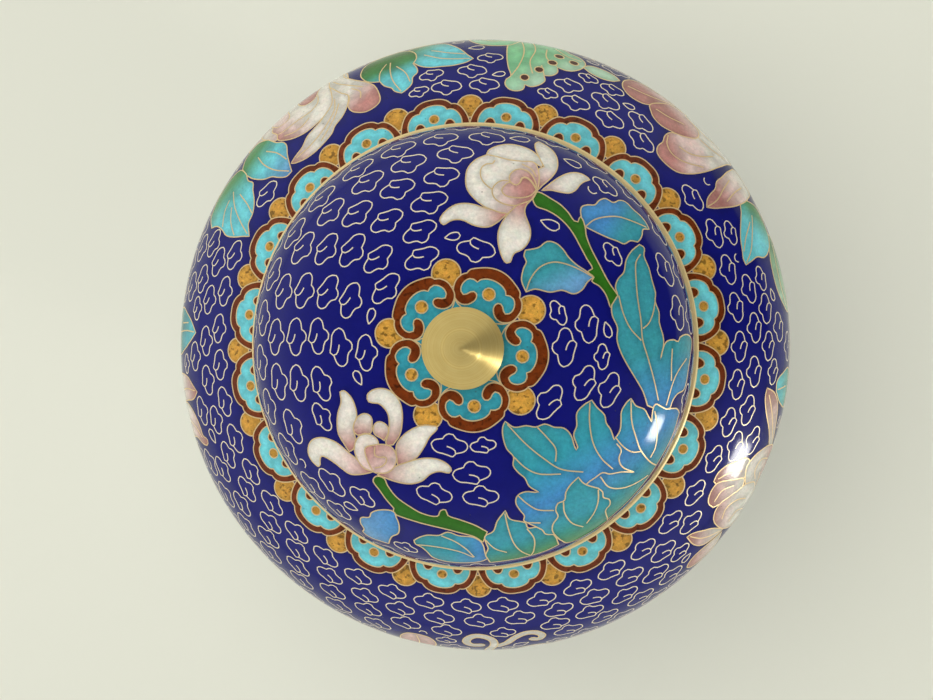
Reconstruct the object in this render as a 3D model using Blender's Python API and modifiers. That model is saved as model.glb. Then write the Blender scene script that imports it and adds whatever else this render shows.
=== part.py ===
"""Cloisonne ginger jar with a lift-off domed lid and a turned brass knob.

Metres, +Z up. The origin is on the table, at the middle of the foot ring.
Every piece is turned about the Z axis.
"""

import math

import bmesh
import bpy

# Lid, a flat-topped dome
LID_RADIUS = 0.0478
LID_RISE = 0.022
LID_POWER = 2.5
LID_WALL = 0.0022

# Body of the jar
BELLY_RADIUS = 0.072
BELLY_HEIGHT = 0.122
SHOULDER_RISE = 0.030
SHOULDER_POWER = 2.1
BASE_RADIUS = 0.040
BODY_WALL = 0.0022
BASE_WALL = 0.0026

# Upright neck, hidden under the lid, and the play between the two
NECK_CLEARANCE = 0.0031
NECK_RADIUS = LID_RADIUS - LID_WALL - NECK_CLEARANCE
NECK_HEIGHT = 0.0065

# Brass ring that the jar stands on
FOOT_HEIGHT = 0.0055
FOOT_WIDTH = 0.0032
FOOT_FLARE = 0.0012

# Brass lip of the mouth
LIP_HEIGHT = 0.0018
LIP_OVERHANG = 0.0005
LIP_EDGE = 0.0005

# Brass ring round the edge of the lid
RING_HEIGHT = 0.0025
RING_OVERHANG = 0.0012
RING_EDGE = 0.0006

# Turned brass knob
KNOB_RADIUS = 0.0083
KNOB_STEM_RADIUS = 0.0058
KNOB_STEM_HEIGHT = 0.0012
KNOB_EDGE_HEIGHT = 0.0027
KNOB_EDGE_WIDTH = 0.0009
KNOB_STEP_RADIUS = 0.0039
KNOB_STEP_HEIGHT = 0.0064
KNOB_HEIGHT = 0.0081

# What touches keeps this gap
SEAT_GAP = 0.0003

# How finely the round forms are divided
SEGMENTS = 56
KNOB_SEGMENTS = 40
SHOULDER_STEPS = 9
LOWER_STEPS = 9
LID_STEPS = 11
MERGE_DISTANCE = 0.00001

BRASS = (0.72, 0.53, 0.22, 1.0)
COBALT = (0.03, 0.03, 0.25, 1.0)


def shoulder_height(radius):
    """Height of the shoulder's surface at a radius."""
    share = (radius / BELLY_RADIUS) ** SHOULDER_POWER
    return BELLY_HEIGHT + SHOULDER_RISE * (1 - share) ** (1 / SHOULDER_POWER)


# Heights that follow from the sizes above
BASE_HEIGHT = FOOT_HEIGHT + SEAT_GAP
NECK_TOP = shoulder_height(NECK_RADIUS) + NECK_HEIGHT
LIP_BOTTOM = NECK_TOP + SEAT_GAP
RING_INNER_RADIUS = LID_RADIUS - LID_WALL
RING_BOTTOM = shoulder_height(RING_INNER_RADIUS) + SEAT_GAP
LID_BOTTOM = RING_BOTTOM + RING_HEIGHT + SEAT_GAP
LID_TOP = LID_BOTTOM + LID_RISE
KNOB_BOTTOM = LID_TOP + SEAT_GAP


def shoulder_curve():
    """Points from the foot of the neck down to the belly."""
    angle_at_neck = math.asin((NECK_RADIUS / BELLY_RADIUS) ** (SHOULDER_POWER / 2))
    points = []
    for step in range(SHOULDER_STEPS + 1):
        angle = angle_at_neck + (math.pi / 2 - angle_at_neck) * step / SHOULDER_STEPS
        radius = BELLY_RADIUS * math.sin(angle) ** (2 / SHOULDER_POWER)
        rise = SHOULDER_RISE * max(0.0, math.cos(angle)) ** (2 / SHOULDER_POWER)
        points.append((radius, BELLY_HEIGHT + rise))
    return points


def lower_curve():
    """Points from just under the belly down to the base, a quarter of a sine wave."""
    points = []
    for step in range(LOWER_STEPS - 1, -1, -1):
        share = step / LOWER_STEPS
        radius = BASE_RADIUS + (BELLY_RADIUS - BASE_RADIUS) * math.sin(share * math.pi / 2)
        points.append((radius, BASE_HEIGHT + (BELLY_HEIGHT - BASE_HEIGHT) * share))
    return points


def lid_curve():
    """Points from the middle of the lid's top down to its edge."""
    points = []
    for step in range(LID_STEPS + 1):
        angle = math.pi / 2 * step / LID_STEPS
        radius = LID_RADIUS * math.sin(angle) ** (2 / LID_POWER)
        rise = LID_RISE * max(0.0, math.cos(angle)) ** (2 / LID_POWER)
        points.append((radius, LID_BOTTOM + rise))
    return points


def moved_inwards(points, wall):
    """The curve of the inner face of a wall, from the points of its outer face, top to bottom."""
    inner = []
    for i, (radius, height) in enumerate(points):
        before = points[max(i - 1, 0)]
        after = points[min(i + 1, len(points) - 1)]
        along_r = after[0] - before[0]
        along_z = after[1] - before[1]
        length = math.hypot(along_r, along_z)
        inner.append((radius + wall * along_z / length, height - wall * along_r / length))
    return inner


def body_profile():
    """Down the outside of the jar from the neck's top, across its base and back up the inside."""
    outside = shoulder_curve() + lower_curve()
    floor_height = BASE_HEIGHT + BASE_WALL
    neck_inner_radius = NECK_RADIUS - BODY_WALL
    inside = [
        (radius, height)
        for radius, height in moved_inwards(outside, BODY_WALL)
        if radius > neck_inner_radius or height < BELLY_HEIGHT
    ]
    inside = [(radius, height) for radius, height in inside if height > floor_height + BASE_WALL]
    corner_radius = BASE_RADIUS - BODY_WALL
    neck_foot = (neck_inner_radius, shoulder_height(NECK_RADIUS) - BODY_WALL)
    return (
        [(neck_inner_radius, NECK_TOP), (NECK_RADIUS, NECK_TOP)]
        + outside
        + [(0.0, BASE_HEIGHT), (0.0, floor_height), (corner_radius, floor_height)]
        + inside[::-1]
        + [neck_foot]
    )


def lid_profile():
    """Down the outside of the dome, across its edge and back up the inside."""
    outside = lid_curve()
    inside = [
        (radius, height)
        for radius, height in moved_inwards(outside, LID_WALL)
        if height > LID_BOTTOM + LID_WALL
    ]
    inside[0] = (0.0, LID_TOP - LID_WALL)
    return outside + [(RING_INNER_RADIUS, LID_BOTTOM)] + inside[::-1]


def foot_profile():
    """The foot ring's section: wider at the table than under the jar."""
    inner_radius = BASE_RADIUS - FOOT_WIDTH
    return [
        (inner_radius, FOOT_HEIGHT),
        (BASE_RADIUS, FOOT_HEIGHT),
        (BASE_RADIUS + FOOT_FLARE / 4, FOOT_HEIGHT / 2),
        (BASE_RADIUS + FOOT_FLARE, FOOT_HEIGHT / 5),
        (BASE_RADIUS + FOOT_FLARE, 0.0),
        (inner_radius, 0.0),
    ]


def band_profile(inner_radius, outer_radius, bottom, height, edge):
    """The section of a flat brass band whose two outer edges are bevelled."""
    top = bottom + height
    return [
        (inner_radius, top),
        (outer_radius - edge, top),
        (outer_radius, top - edge),
        (outer_radius, bottom + edge),
        (outer_radius - edge, bottom),
        (inner_radius, bottom),
    ]


def knob_profile():
    """From the point of the knob down its two cones, round its edge and in to its stem."""
    edge_height = KNOB_BOTTOM + KNOB_EDGE_HEIGHT
    return [
        (0.0, KNOB_BOTTOM + KNOB_HEIGHT),
        (KNOB_STEP_RADIUS, KNOB_BOTTOM + KNOB_STEP_HEIGHT),
        (KNOB_RADIUS - KNOB_EDGE_WIDTH, edge_height + KNOB_EDGE_WIDTH),
        (KNOB_RADIUS, edge_height),
        (KNOB_RADIUS - KNOB_EDGE_WIDTH / 2, edge_height - KNOB_EDGE_WIDTH / 2),
        (KNOB_STEM_RADIUS, KNOB_BOTTOM + KNOB_STEM_HEIGHT),
        (KNOB_STEM_RADIUS, KNOB_BOTTOM),
        (0.0, KNOB_BOTTOM),
    ]


def finish(name, colour, roughness, metallic):
    """A plain material for one kind of surface."""
    material = bpy.data.materials.new(name)
    material.use_nodes = True
    shader = material.node_tree.nodes["Principled BSDF"]
    shader.inputs["Base Color"].default_value = colour
    shader.inputs["Roughness"].default_value = roughness
    shader.inputs["Metallic"].default_value = metallic
    return material


def turned(name, profile, material, segments, closed=True):
    """One turned piece: its section in the XZ plane, swept round Z by a Screw modifier."""
    mesh = bpy.data.meshes.new(name)
    bm = bmesh.new()
    verts = [bm.verts.new((radius, 0.0, height)) for radius, height in profile]
    for first, second in zip(verts, verts[1:]):
        bm.edges.new((first, second))
    if closed:
        bm.edges.new((verts[-1], verts[0]))
    bm.to_mesh(mesh)
    bm.free()
    piece = bpy.data.objects.new(name, mesh)
    mesh.materials.append(material)
    screw = piece.modifiers.new("Turn", "SCREW")
    screw.axis = "Z"
    screw.angle = 2 * math.pi
    screw.steps = segments
    screw.render_steps = segments
    screw.use_merge_vertices = True
    screw.merge_threshold = MERGE_DISTANCE
    screw.use_smooth_shade = True
    collection.objects.link(piece)
    return piece


for old in list(bpy.data.objects):
    bpy.data.objects.remove(old)
collection = bpy.data.collections.new("cloisonne_ginger_jar")
bpy.context.scene.collection.children.link(collection)

enamel = finish("cobalt_enamel", COBALT, 0.12, 0.0)
brass = finish("gilt_brass", BRASS, 0.3, 1.0)

turned("jar_body", body_profile(), enamel, SEGMENTS)
turned("foot_ring", foot_profile(), brass, SEGMENTS)
turned(
    "mouth_lip",
    band_profile(
        NECK_RADIUS - BODY_WALL,
        NECK_RADIUS + LIP_OVERHANG,
        LIP_BOTTOM,
        LIP_HEIGHT,
        LIP_EDGE,
    ),
    brass,
    SEGMENTS,
)
turned("lid", lid_profile(), enamel, SEGMENTS, closed=False)
turned(
    "lid_ring",
    band_profile(
        RING_INNER_RADIUS,
        LID_RADIUS + RING_OVERHANG,
        RING_BOTTOM,
        RING_HEIGHT,
        RING_EDGE,
    ),
    brass,
    SEGMENTS,
)
turned("knob", knob_profile(), brass, KNOB_SEGMENTS, closed=False)
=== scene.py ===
"""Cloisonne ginger jar, seen from above: the enamel, its wires, the brass, the light and the camera."""

import math
import random

import bpy
import numpy as np
from mathutils import Matrix, Vector, kdtree
from mathutils.geometry import delaunay_2d_cdt


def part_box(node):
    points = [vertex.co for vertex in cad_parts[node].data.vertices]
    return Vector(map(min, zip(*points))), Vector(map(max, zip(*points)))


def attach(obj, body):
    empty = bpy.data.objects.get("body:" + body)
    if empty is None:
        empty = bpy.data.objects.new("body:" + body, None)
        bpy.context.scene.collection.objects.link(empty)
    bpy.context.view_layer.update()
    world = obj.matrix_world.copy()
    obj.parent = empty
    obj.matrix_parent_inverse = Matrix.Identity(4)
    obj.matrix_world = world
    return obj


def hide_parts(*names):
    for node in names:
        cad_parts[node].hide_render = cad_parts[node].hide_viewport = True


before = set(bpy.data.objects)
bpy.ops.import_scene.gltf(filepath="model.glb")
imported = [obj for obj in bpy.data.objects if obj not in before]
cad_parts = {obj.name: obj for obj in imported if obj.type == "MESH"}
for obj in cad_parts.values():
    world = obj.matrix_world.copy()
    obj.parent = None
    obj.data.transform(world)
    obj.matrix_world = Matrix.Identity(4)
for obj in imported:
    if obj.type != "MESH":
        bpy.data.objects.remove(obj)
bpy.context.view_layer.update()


# The jar's body
# A pot of copper sheet, enamelled inside and out. Flat brass wires are glued on edge to the copper,
# the fields between them are filled with ground glass and fired, and the whole is polished flush.
MM = 0.001
WIRE_PROUD = 0.00003
WIRE_SUNK = 0.000012
WIRE_WIDTH = 0.00037
BODY_LOW, BODY_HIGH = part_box("jar_body")
BELLY_RADIUS = BODY_HIGH.x - WIRE_PROUD
BELLY_HEIGHT = 0.122
SHOULDER_RISE = 0.030
SHOULDER_POWER = 2.1
NECK_RADIUS = 0.0425
BASE_RADIUS = 0.040
BODY_WALL = 0.0022
BASE_WALL = 0.0026
COLUMNS = 176
OUTLINE_STEPS = 320
BODY_SPACING = 0.0019
DRAWN_STEP = 0.55


class Skin:
    """A turned outer surface with a flat chart to cut it on. s is the way down its outline, in metres."""

    def __init__(self, radii, heights, starts_at_pole):
        self.r, self.z = np.array(radii), np.array(heights)
        steps = np.hypot(np.diff(self.r), np.diff(self.z))
        self.s = np.concatenate([[0.0], np.cumsum(steps)])
        self.length = self.s[-1]
        along_r, along_z = np.gradient(self.r, self.s), np.gradient(self.z, self.s)
        size = np.hypot(along_r, along_z)
        self.normal_r, self.normal_z = -along_z / size, along_r / size
        if starts_at_pole:
            self.chart = self.s / MM
        else:
            middle = (self.r[1:] + self.r[:-1]) / 2
            self.chart = np.exp(np.concatenate([[0.0], np.cumsum(steps / middle)])) * self.r[0] / MM

    def radius(self, s):
        return np.interp(s, self.s, self.r)

    def flat(self, s, angle):
        """Points of the chart."""
        reach = np.interp(s, self.s, self.chart)
        return np.column_stack([reach * np.cos(angle), reach * np.sin(angle)])

    def unflat(self, points):
        """s and angle of points of the chart."""
        reach = np.hypot(points[:, 0], points[:, 1])
        return np.interp(reach, self.chart, self.s), np.arctan2(points[:, 1], points[:, 0])

    def at(self, s, angle):
        """Points in space."""
        r = np.interp(s, self.s, self.r)
        return np.column_stack([r * np.cos(angle), r * np.sin(angle), np.interp(s, self.s, self.z)])

    def normals(self, s, angle):
        outward = np.interp(s, self.s, self.normal_r)
        return np.column_stack(
            [outward * np.cos(angle), outward * np.sin(angle), np.interp(s, self.s, self.normal_z)]
        )


def body_outline():
    """Radii and heights of the jar's outer face, from the foot of the neck down to the base."""
    neck_angle = math.asin((NECK_RADIUS / BELLY_RADIUS) ** (SHOULDER_POWER / 2))
    angles = np.linspace(neck_angle, math.pi / 2, OUTLINE_STEPS)
    shoulder_r = BELLY_RADIUS * np.sin(angles) ** (2 / SHOULDER_POWER)
    shoulder_z = BELLY_HEIGHT + SHOULDER_RISE * np.clip(np.cos(angles), 0, 1) ** (2 / SHOULDER_POWER)
    shares = np.linspace(1, 0, OUTLINE_STEPS)[1:]
    lower_r = BASE_RADIUS + (BELLY_RADIUS - BASE_RADIUS) * np.sin(shares * math.pi / 2)
    lower_z = BODY_LOW.z + (BELLY_HEIGHT - BODY_LOW.z) * shares
    return np.concatenate([shoulder_r, lower_r]), np.concatenate([shoulder_z, lower_z])


body_skin = Skin(*body_outline(), starts_at_pole=False)


def glaze(red, green, blue, speckle):
    """A colour of the enamel, as seen, made linear. speckle is how grainy the glass is."""
    seen = (red, green, blue)
    linear = [((c / 255 + 0.055) / 1.055) ** 2.4 if c > 10 else c / 255 / 12.92 for c in seen]
    return np.array([*linear, speckle])


COBALT = glaze(14, 17, 104, 0.2)
TURQUOISE = glaze(112, 208, 218, 0.5)
SEA_GREEN = glaze(52, 148, 165, 0.5)
LEAF_TEAL = glaze(56, 143, 154, 0.6)
LEAF_BLUE = glaze(66, 134, 190, 0.6)
LEAF_PALE = glaze(104, 156, 200, 0.6)
LEAF_GREEN = glaze(62, 132, 72, 0.6)
STEM_GREEN = glaze(46, 104, 26, 0.4)
RED_BROWN = glaze(114, 50, 14, 0.8)
OCHRE = glaze(202, 150, 62, 1.0)
WHITE = glaze(224, 220, 208, 0.45)
BLUSH = glaze(222, 196, 188, 0.5)
ROSE = glaze(182, 128, 120, 0.6)
WING_GREEN = glaze(135, 205, 152, 0.3)
WING_PALE = glaze(185, 218, 190, 0.3)
EYE_BROWN = glaze(88, 52, 40, 0.5)
COUNTER = glaze(70, 150, 165, 0.4)


def drawn(points, closed=True, step=DRAWN_STEP):
    """A smooth line through drawn points, in millimetres. A third item in a point marks a corner."""
    xy = np.array([p[:2] for p in points], float)
    corner = [len(p) > 2 for p in points]
    count = len(xy)
    pieces = []
    for i in range(count if closed else count - 1):
        j = (i + 1) % count
        here, there = xy[i], xy[j]
        length = np.linalg.norm(there - here)
        straight = there - here
        from_sharp = corner[i] or (not closed and i == 0)
        to_sharp = corner[j] or (not closed and j == count - 1)
        start = straight if from_sharp else there - xy[i - 1]
        end = straight if to_sharp else xy[(j + 1) % count] - here
        start = start * length / max(np.linalg.norm(start), 1e-6)
        end = end * length / max(np.linalg.norm(end), 1e-6)
        steps = max(1, round(length / step))
        t = (np.arange(steps) / steps)[:, None]
        pieces.append(
            (2 * t**3 - 3 * t**2 + 1) * here + (t**3 - 2 * t**2 + t) * start
            + (3 * t**2 - 2 * t**3) * there + (t**3 - t**2) * end
        )
    if not closed:
        pieces.append(xy[-1:])
    return np.vstack(pieces)


def cell(points, paint, lines=()):
    """One field of enamel: its outline, its paint and the wires inside it.
    paint is one colour, or (start, end, colour, colour, ...), blended from start to end."""
    return {"edge": drawn(points), "paint": paint, "lines": [drawn(line, False) for line in lines]}


def stroke(points):
    """A wire on the ground, round no field."""
    return {"edge": None, "paint": None, "lines": [drawn(points, False)]}


def disc(x, y, radius, paint, points=8):
    turns = [2 * math.pi * i / points for i in range(points)]
    return cell([(x + radius * math.cos(a), y + radius * math.sin(a)) for a in turns], paint)


def both_sides(half):
    """A closed outline from its right half, which starts and ends on the middle line."""
    left = [(-p[0], *p[1:]) for p in reversed(half) if abs(p[0]) > 0.01]
    return half + left


def ribbon(points, width, paint):
    """A field of even width along a drawn line, with a round end."""
    line = drawn(points, False, 1.1)
    way = np.gradient(line, axis=0)
    way /= np.linalg.norm(way, axis=1)[:, None]
    side = np.column_stack([-way[:, 1], way[:, 0]]) * width / 2
    outline = [*(line + side), line[-1] + way[-1] * width / 2, *(line - side)[::-1]]
    return cell([tuple(p) for p in outline], paint)


def moved(cells, x=0, y=0, turn=0, scale=1, mirror=False, pivot=(0, 0)):
    """Cells of a drawing turned and scaled about the pivot, which then goes to x, y."""
    c, s = math.cos(math.radians(turn)) * scale, math.sin(math.radians(turn)) * scale

    def at(points):
        points = np.array(points, float) - pivot
        if mirror:
            points = points * (-1, 1)
        return points @ np.array([[c, s], [-s, c]]) + (x, y)

    result = []
    for item in cells:
        paint = item["paint"]
        if isinstance(paint, tuple):
            start, end = at([paint[0], paint[1]])
            paint = (start, end, *paint[2:])
        edge = None if item["edge"] is None else at(item["edge"])
        result.append({"edge": edge, "paint": paint, "lines": [at(line) for line in item["lines"]]})
    return result


# One group of the pattern: a peony with its curled petals, and the stem under it
PETAL = (WHITE, WHITE, WHITE, BLUSH, ROSE)
PEONY = [
    cell([(4.3, 42, 1), (4.9, 43.4), (7, 44.8), (9.5, 45.4), (12, 45), (14.3, 43.8), (15.6, 42.3),
          (16.6, 40.3), (16.2, 39.2, 1), (14, 40.4), (12, 40.4), (9.5, 40.6), (7.5, 41.1), (5.8, 41.6)],
         WHITE),
    cell([(16.3, 47.9, 1), (18.2, 46.3), (19.5, 44.3), (20, 42), (19.8, 39.5), (19, 37.6), (17.6, 35.8),
          (16, 34.2), (15.3, 33.3, 1), (15.4, 36.5), (15.6, 38.5), (16.8, 39.3, 1), (16, 41.5), (15.3, 44),
          (15.3, 46.5)],
         ((17, 45), (15.5, 34), *PETAL)),
    cell([(16, 33.2, 1), (17.5, 34.6), (19.5, 36.4), (21.5, 37.8), (23.5, 38.6), (25.3, 38.6), (26.8, 37.8),
          (27.2, 37.2, 1), (25.8, 36.5), (24.6, 35.4), (23.5, 33.9), (22, 33), (20, 33.1), (18, 33.4)],
         ((26, 38), (15, 33), *PETAL)),
    cell([(4.4, 41.9, 1), (2, 40.5), (0.4, 38.3), (0, 35.6), (0.4, 33.2), (1.8, 31.2), (3.9, 29.4),
          (5.6, 28.6), (7.3, 28, 1), (7.4, 27.5), (8.8, 27.7, 1), (10.8, 29.5), (13.9, 31), (15.2, 33.3, 1),
          (15.6, 36), (15.4, 38.6), (14.6, 40.3), (12, 40.4), (9.5, 40.6), (7.5, 41.1), (5.8, 41.6)],
         ((1, 39), (14, 31), *PETAL),
         [[(6.1, 40.4), (5.6, 39.5), (4.4, 39.4), (3.3, 38.4), (3.1, 36.6), (3.7, 35), (4.8, 33.8),
           (5.6, 33.2)],
          [(12, 39.6), (14, 38.4), (15, 36.5)]]),
    cell([(9.2, 35.2), (7.4, 35.2), (6, 34), (5.6, 32.6), (6.2, 31.1), (7.6, 30.1), (9.4, 29.6),
          (11.5, 29.7), (13.2, 30.4), (14.2, 31.5), (15, 33.2, 1), (14.4, 34.8), (13.2, 36.2), (11.9, 36),
          (11.3, 34.7), (10.2, 34.4)], ((5, 34), (13, 32), WHITE, BLUSH, ROSE)),
    cell([(9.2, 34.9), (8.2, 34.1), (7.6, 33), (8.3, 31.9), (9.8, 31.4), (12, 31.4), (13.8, 32),
          (14.9, 33.3, 1), (14, 35), (12.9, 36.1), (12, 36), (11.5, 34.9), (10.6, 34.3)],
         ((6, 33), (12, 34), BLUSH, ROSE)),
    cell([(9.3, 35.3), (9.3, 36.6), (10.2, 37.8), (11.6, 38.3), (13, 37.9), (14, 36.9), (14.8, 35),
          (15, 33.5, 1), (13.8, 35.5), (12.7, 36.3), (11.9, 36.1), (11.4, 34.8), (10.7, 34.3), (9.9, 34.6)],
         ((9, 38), (13, 34.5), BLUSH, ROSE)),
    cell([(-5.2, 26.3, 1), (-4.9, 27.2), (-3.6, 28.7), (-2, 29.7), (0, 30), (2, 29.7), (4, 29), (5.6, 28.6),
          (7.3, 28), (8.8, 27.8, 1), (7.8, 26.8), (6.5, 25.7), (5, 24.9), (3.2, 24.9), (1.5, 25.4),
          (0, 26.2), (-1.5, 26.5), (-3, 26.2), (-4.4, 25.4)], ((-4, 27), (8, 27.5), WHITE, WHITE, ROSE)),
    cell([(13.9, 30.9, 1), (12.8, 29.8), (12.4, 28.2), (12.9, 26.4), (13.5, 24.6), (13.5, 22.8),
          (12.8, 21.2), (11.6, 20), (10.3, 19.4), (9.8, 18.6), (9.4, 17.5), (8.7, 17.3), (8, 18),
          (7.3, 19.8), (6.9, 21.8), (7, 24), (7.8, 26), (9.2, 28), (10.7, 29.6, 1)],
         ((9, 18), (12, 30), WHITE, WHITE, ROSE)),
]

STEM = [
    cell([(14.1, 32.2), (14.8, 32.8), (16, 32.6), (18, 31.4), (20, 30.1), (21.6, 28.4), (22.8, 26.6),
          (23.6, 26.4), (24.2, 27.6), (25.1, 25.4), (25.3, 23.4), (26.2, 20.8), (28, 17.2), (29.8, 13.8),
          (31.8, 11, 1), (30.1, 8.4, 1), (29.2, 11), (27.8, 12.8), (26.2, 13.8), (26.7, 14.6), (25.4, 15.8),
          (26.4, 16.4), (25.3, 18.4), (24, 20.9), (22.6, 23.6), (21, 25.8), (19, 27.6), (16.8, 28.8),
          (15, 29.4), (14.3, 30.4)],
         STEM_GREEN),
]

# A wavy leaf that hangs by its stem at the upper left, and one that turns back under it
LEAF_OUT = [
    cell([(25.2, 25.4, 1), (24.4, 27.5), (24.5, 29.8), (25.9, 30.5), (27.6, 30.7), (28.8, 32), (30.4, 32.7),
          (32.2, 32), (34, 33), (35.8, 33), (37.6, 31.4), (39.5, 30.2), (40.8, 28.6), (41.3, 27, 1),
          (39.2, 26.4), (38.8, 25.2), (38.1, 23.9), (37.2, 23, 1), (35.4, 23.1), (33.8, 22.2), (32.2, 22.7),
          (30.1, 23.3), (27.6, 24.3)], ((27, 31), (39, 24), LEAF_BLUE, LEAF_BLUE, LEAF_TEAL, SEA_GREEN),
         [[(25.2, 25.4), (27, 27), (29.6, 28), (33, 28.5), (36.5, 28), (40.5, 27.3)]]),
]
LEAF_BACK = [
    cell([(12.5, 20, 1), (15.2, 20.6), (17, 21.9), (18.8, 21.6), (20.3, 20.3), (21.4, 18.7), (23, 17.2),
          (25, 15.9), (26.6, 14.6, 1), (25.3, 13.6), (24.2, 12), (22.4, 11.1), (20, 11.8), (17.5, 11.4),
          (14.5, 12), (12.6, 11.4, 1), (11.7, 13.8), (12.1, 16.2), (12.7, 17.6), (12.2, 18.8)],
         ((16, 21), (21, 12), LEAF_TEAL, LEAF_TEAL, LEAF_PALE),
         [[(12.6, 11.5), (13.6, 14.2), (15.6, 16.6), (18.3, 17.6), (21, 17.2), (24, 16), (26.6, 14.6)]]),
]


LEAF_BEND = 0.18


def simple_leaf(length, width, top=LEAF_TEAL, bottom=LEAF_BLUE):
    """A leaf with a wavy edge along +x from its stalk at 0, 0."""
    bend = LEAF_BEND * length
    upper = [(0, 0, 1), (0.16, 0.72), (0.3, 0.78), (0.42, 1.0), (0.58, 0.8), (0.74, 0.74), (0.88, 0.4), (1, 0, 1)]
    lower = [(0.86, 0.5), (0.7, 0.66), (0.58, 0.94), (0.4, 0.82), (0.26, 0.86), (0.12, 0.6)]

    def at(share, side):
        return share * length, side * width / 2 + bend * share * share

    points = [(*at(x, y), *rest) for x, y, *rest in upper] + [at(x, -y) for x, y in lower]
    vein = [at(x, 0) for x in (0, 0.3, 0.6, 0.9)]
    side_veins = [[at(0.3, 0), at(0.5, 0.6)], [at(0.42, 0), at(0.62, -0.6)]]
    return [cell(points, (at(0.5, 1), at(0.5, -1), top, SEA_GREEN, bottom), [vein, *side_veins])]


def butterfly(wing, dots):
    """A butterfly with its head at the top, about 22 mm across."""
    upper = [(1, 0.5, 1), (3.5, 4.8), (7.2, 7.6), (10.4, 7.8), (11.4, 5.4), (10, 2.2), (6.6, 0, 1), (3, -0.4)]
    lower = [(1, -0.6, 1), (4.4, -0.9), (7.6, -2.4), (8.6, -5.2), (7, -7.8), (4.8, -7), (3.4, -8.8), (2, -5.2)]
    feeler = ((0.4, 4), (1.6, 7.4), (3.8, 9.6), (5.6, 9), (5.2, 7.4), (4.2, 7.9))
    cells = [stroke([(side * x, y) for x, y in feeler]) for side in (-1, 1)]
    for side in (-1, 1):
        for half, tip in ((lower, (7, -6)), (upper, (10, 6))):
            points = [(side * p[0], *p[1:]) for p in half]
            cells.append(cell(points, ((0, 0), (side * tip[0], tip[1]), WHITE, wing, wing),
                              [[(side * 1.6, half[0][1] * 1.4), (side * tip[0] * 0.55, tip[1] * 0.5)]]))
        cells.append(disc(side * 8.6, 5.3, 1.15, dots, 6))
        cells.append(disc(side * 5.8, -4.6, 1.05, dots, 6))
    body = [(0, 4.4), (1, 3), (1.1, 0), (0.7, -3.4), (0, -5.6, 1), (-0.7, -3.4), (-1.1, 0), (-1, 3)]
    return cells + [cell(body, OCHRE)]


def round_flower(petals, radius):
    """A small open flower."""
    cells = []
    for i in range(petals):
        turn = 360 * i / petals
        petal = [(0.6, 0, 1), (0.62 * radius, 0.3 * radius), (0.92 * radius, 0.34 * radius), (radius, 0, 1),
                 (0.92 * radius, -0.34 * radius), (0.62 * radius, -0.3 * radius)]
        cells += moved([cell(petal, ((radius, 0), (0, 0), WHITE, BLUSH, ROSE))], turn=turn)
    return cells + [disc(0, 0, 0.2 * radius + 0.5, OCHRE, 6)]


BODY_EDGE = 0.0006


def on_body(cells, angle, s, **how):
    """Cells put on the jar: +y points at the lid, and the drawing's 0, 0 is at this angle and s."""
    where = moved(cells, **how)

    def place(points):
        down = np.clip(s - points[:, 1] * MM, BODY_EDGE, body_skin.length - BODY_EDGE)
        return down, math.radians(angle) + points[:, 0] * MM / body_skin.radius(down)

    return [(item, place) for item in where]


LAPPETS = 20
LAPPET_TURN = 10
LAPPET_OUTER = [(0, 14.2), (1.8, 14.1), (3.3, 13.5), (4.3, 12.5, 1), (5.3, 12.4), (6.3, 11.6), (7.1, 10.2),
                (7.6, 8.6), (7.8, 7, 1), (7.8, 1, 1), (0, 1)]
LAPPET_INNER = [(0, 12.7), (1.5, 12.5), (2.6, 12), (3.1, 11.2, 1), (4, 11.2), (5, 10.7), (5.8, 9.5),
                (6.1, 8.2), (5.9, 6.6, 1), (5.6, 1.4, 1), (0, 1.4)]
LAPPET = [
    cell(both_sides(LAPPET_OUTER), RED_BROWN),
    cell(both_sides(LAPPET_INNER), TURQUOISE),
    disc(0, 9.1, 1.1, OCHRE, 6),
    *[cell([(side * 2.1, 4, 1), (side * 2.1, 7), (side * 2.8, 8.4), (side * 3.8, 8.5), (side * 4.5, 7.3),
            (side * 4.3, 4, 1)], RED_BROWN) for side in (-1, 1)],
]
FOOT_LAPPETS = 16
BALL_RADIUS, BALL_DOWN = 2.9, 0.0116
FOOT_BALL_RADIUS, FOOT_BALL_UP = 2.6, 0.0122


def lappet_border(count, start, s, ball_radius, ball_s, **how):
    """A ring of lappets at s, and under them an ochre ball in each gap."""
    border = []
    for i in range(count):
        border += on_body([disc(0, 0, ball_radius, OCHRE)], start + 360 * i / count + 180 / count, ball_s)
    for i in range(count):
        border += on_body(LAPPET, start + 360 * i / count, s, **how)
    return border


def on_shoulder(points):
    """Where points drawn in degrees round the jar and millimetres down the shoulder lie."""
    return points[:, 1] * MM, np.radians(points[:, 0])


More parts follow.
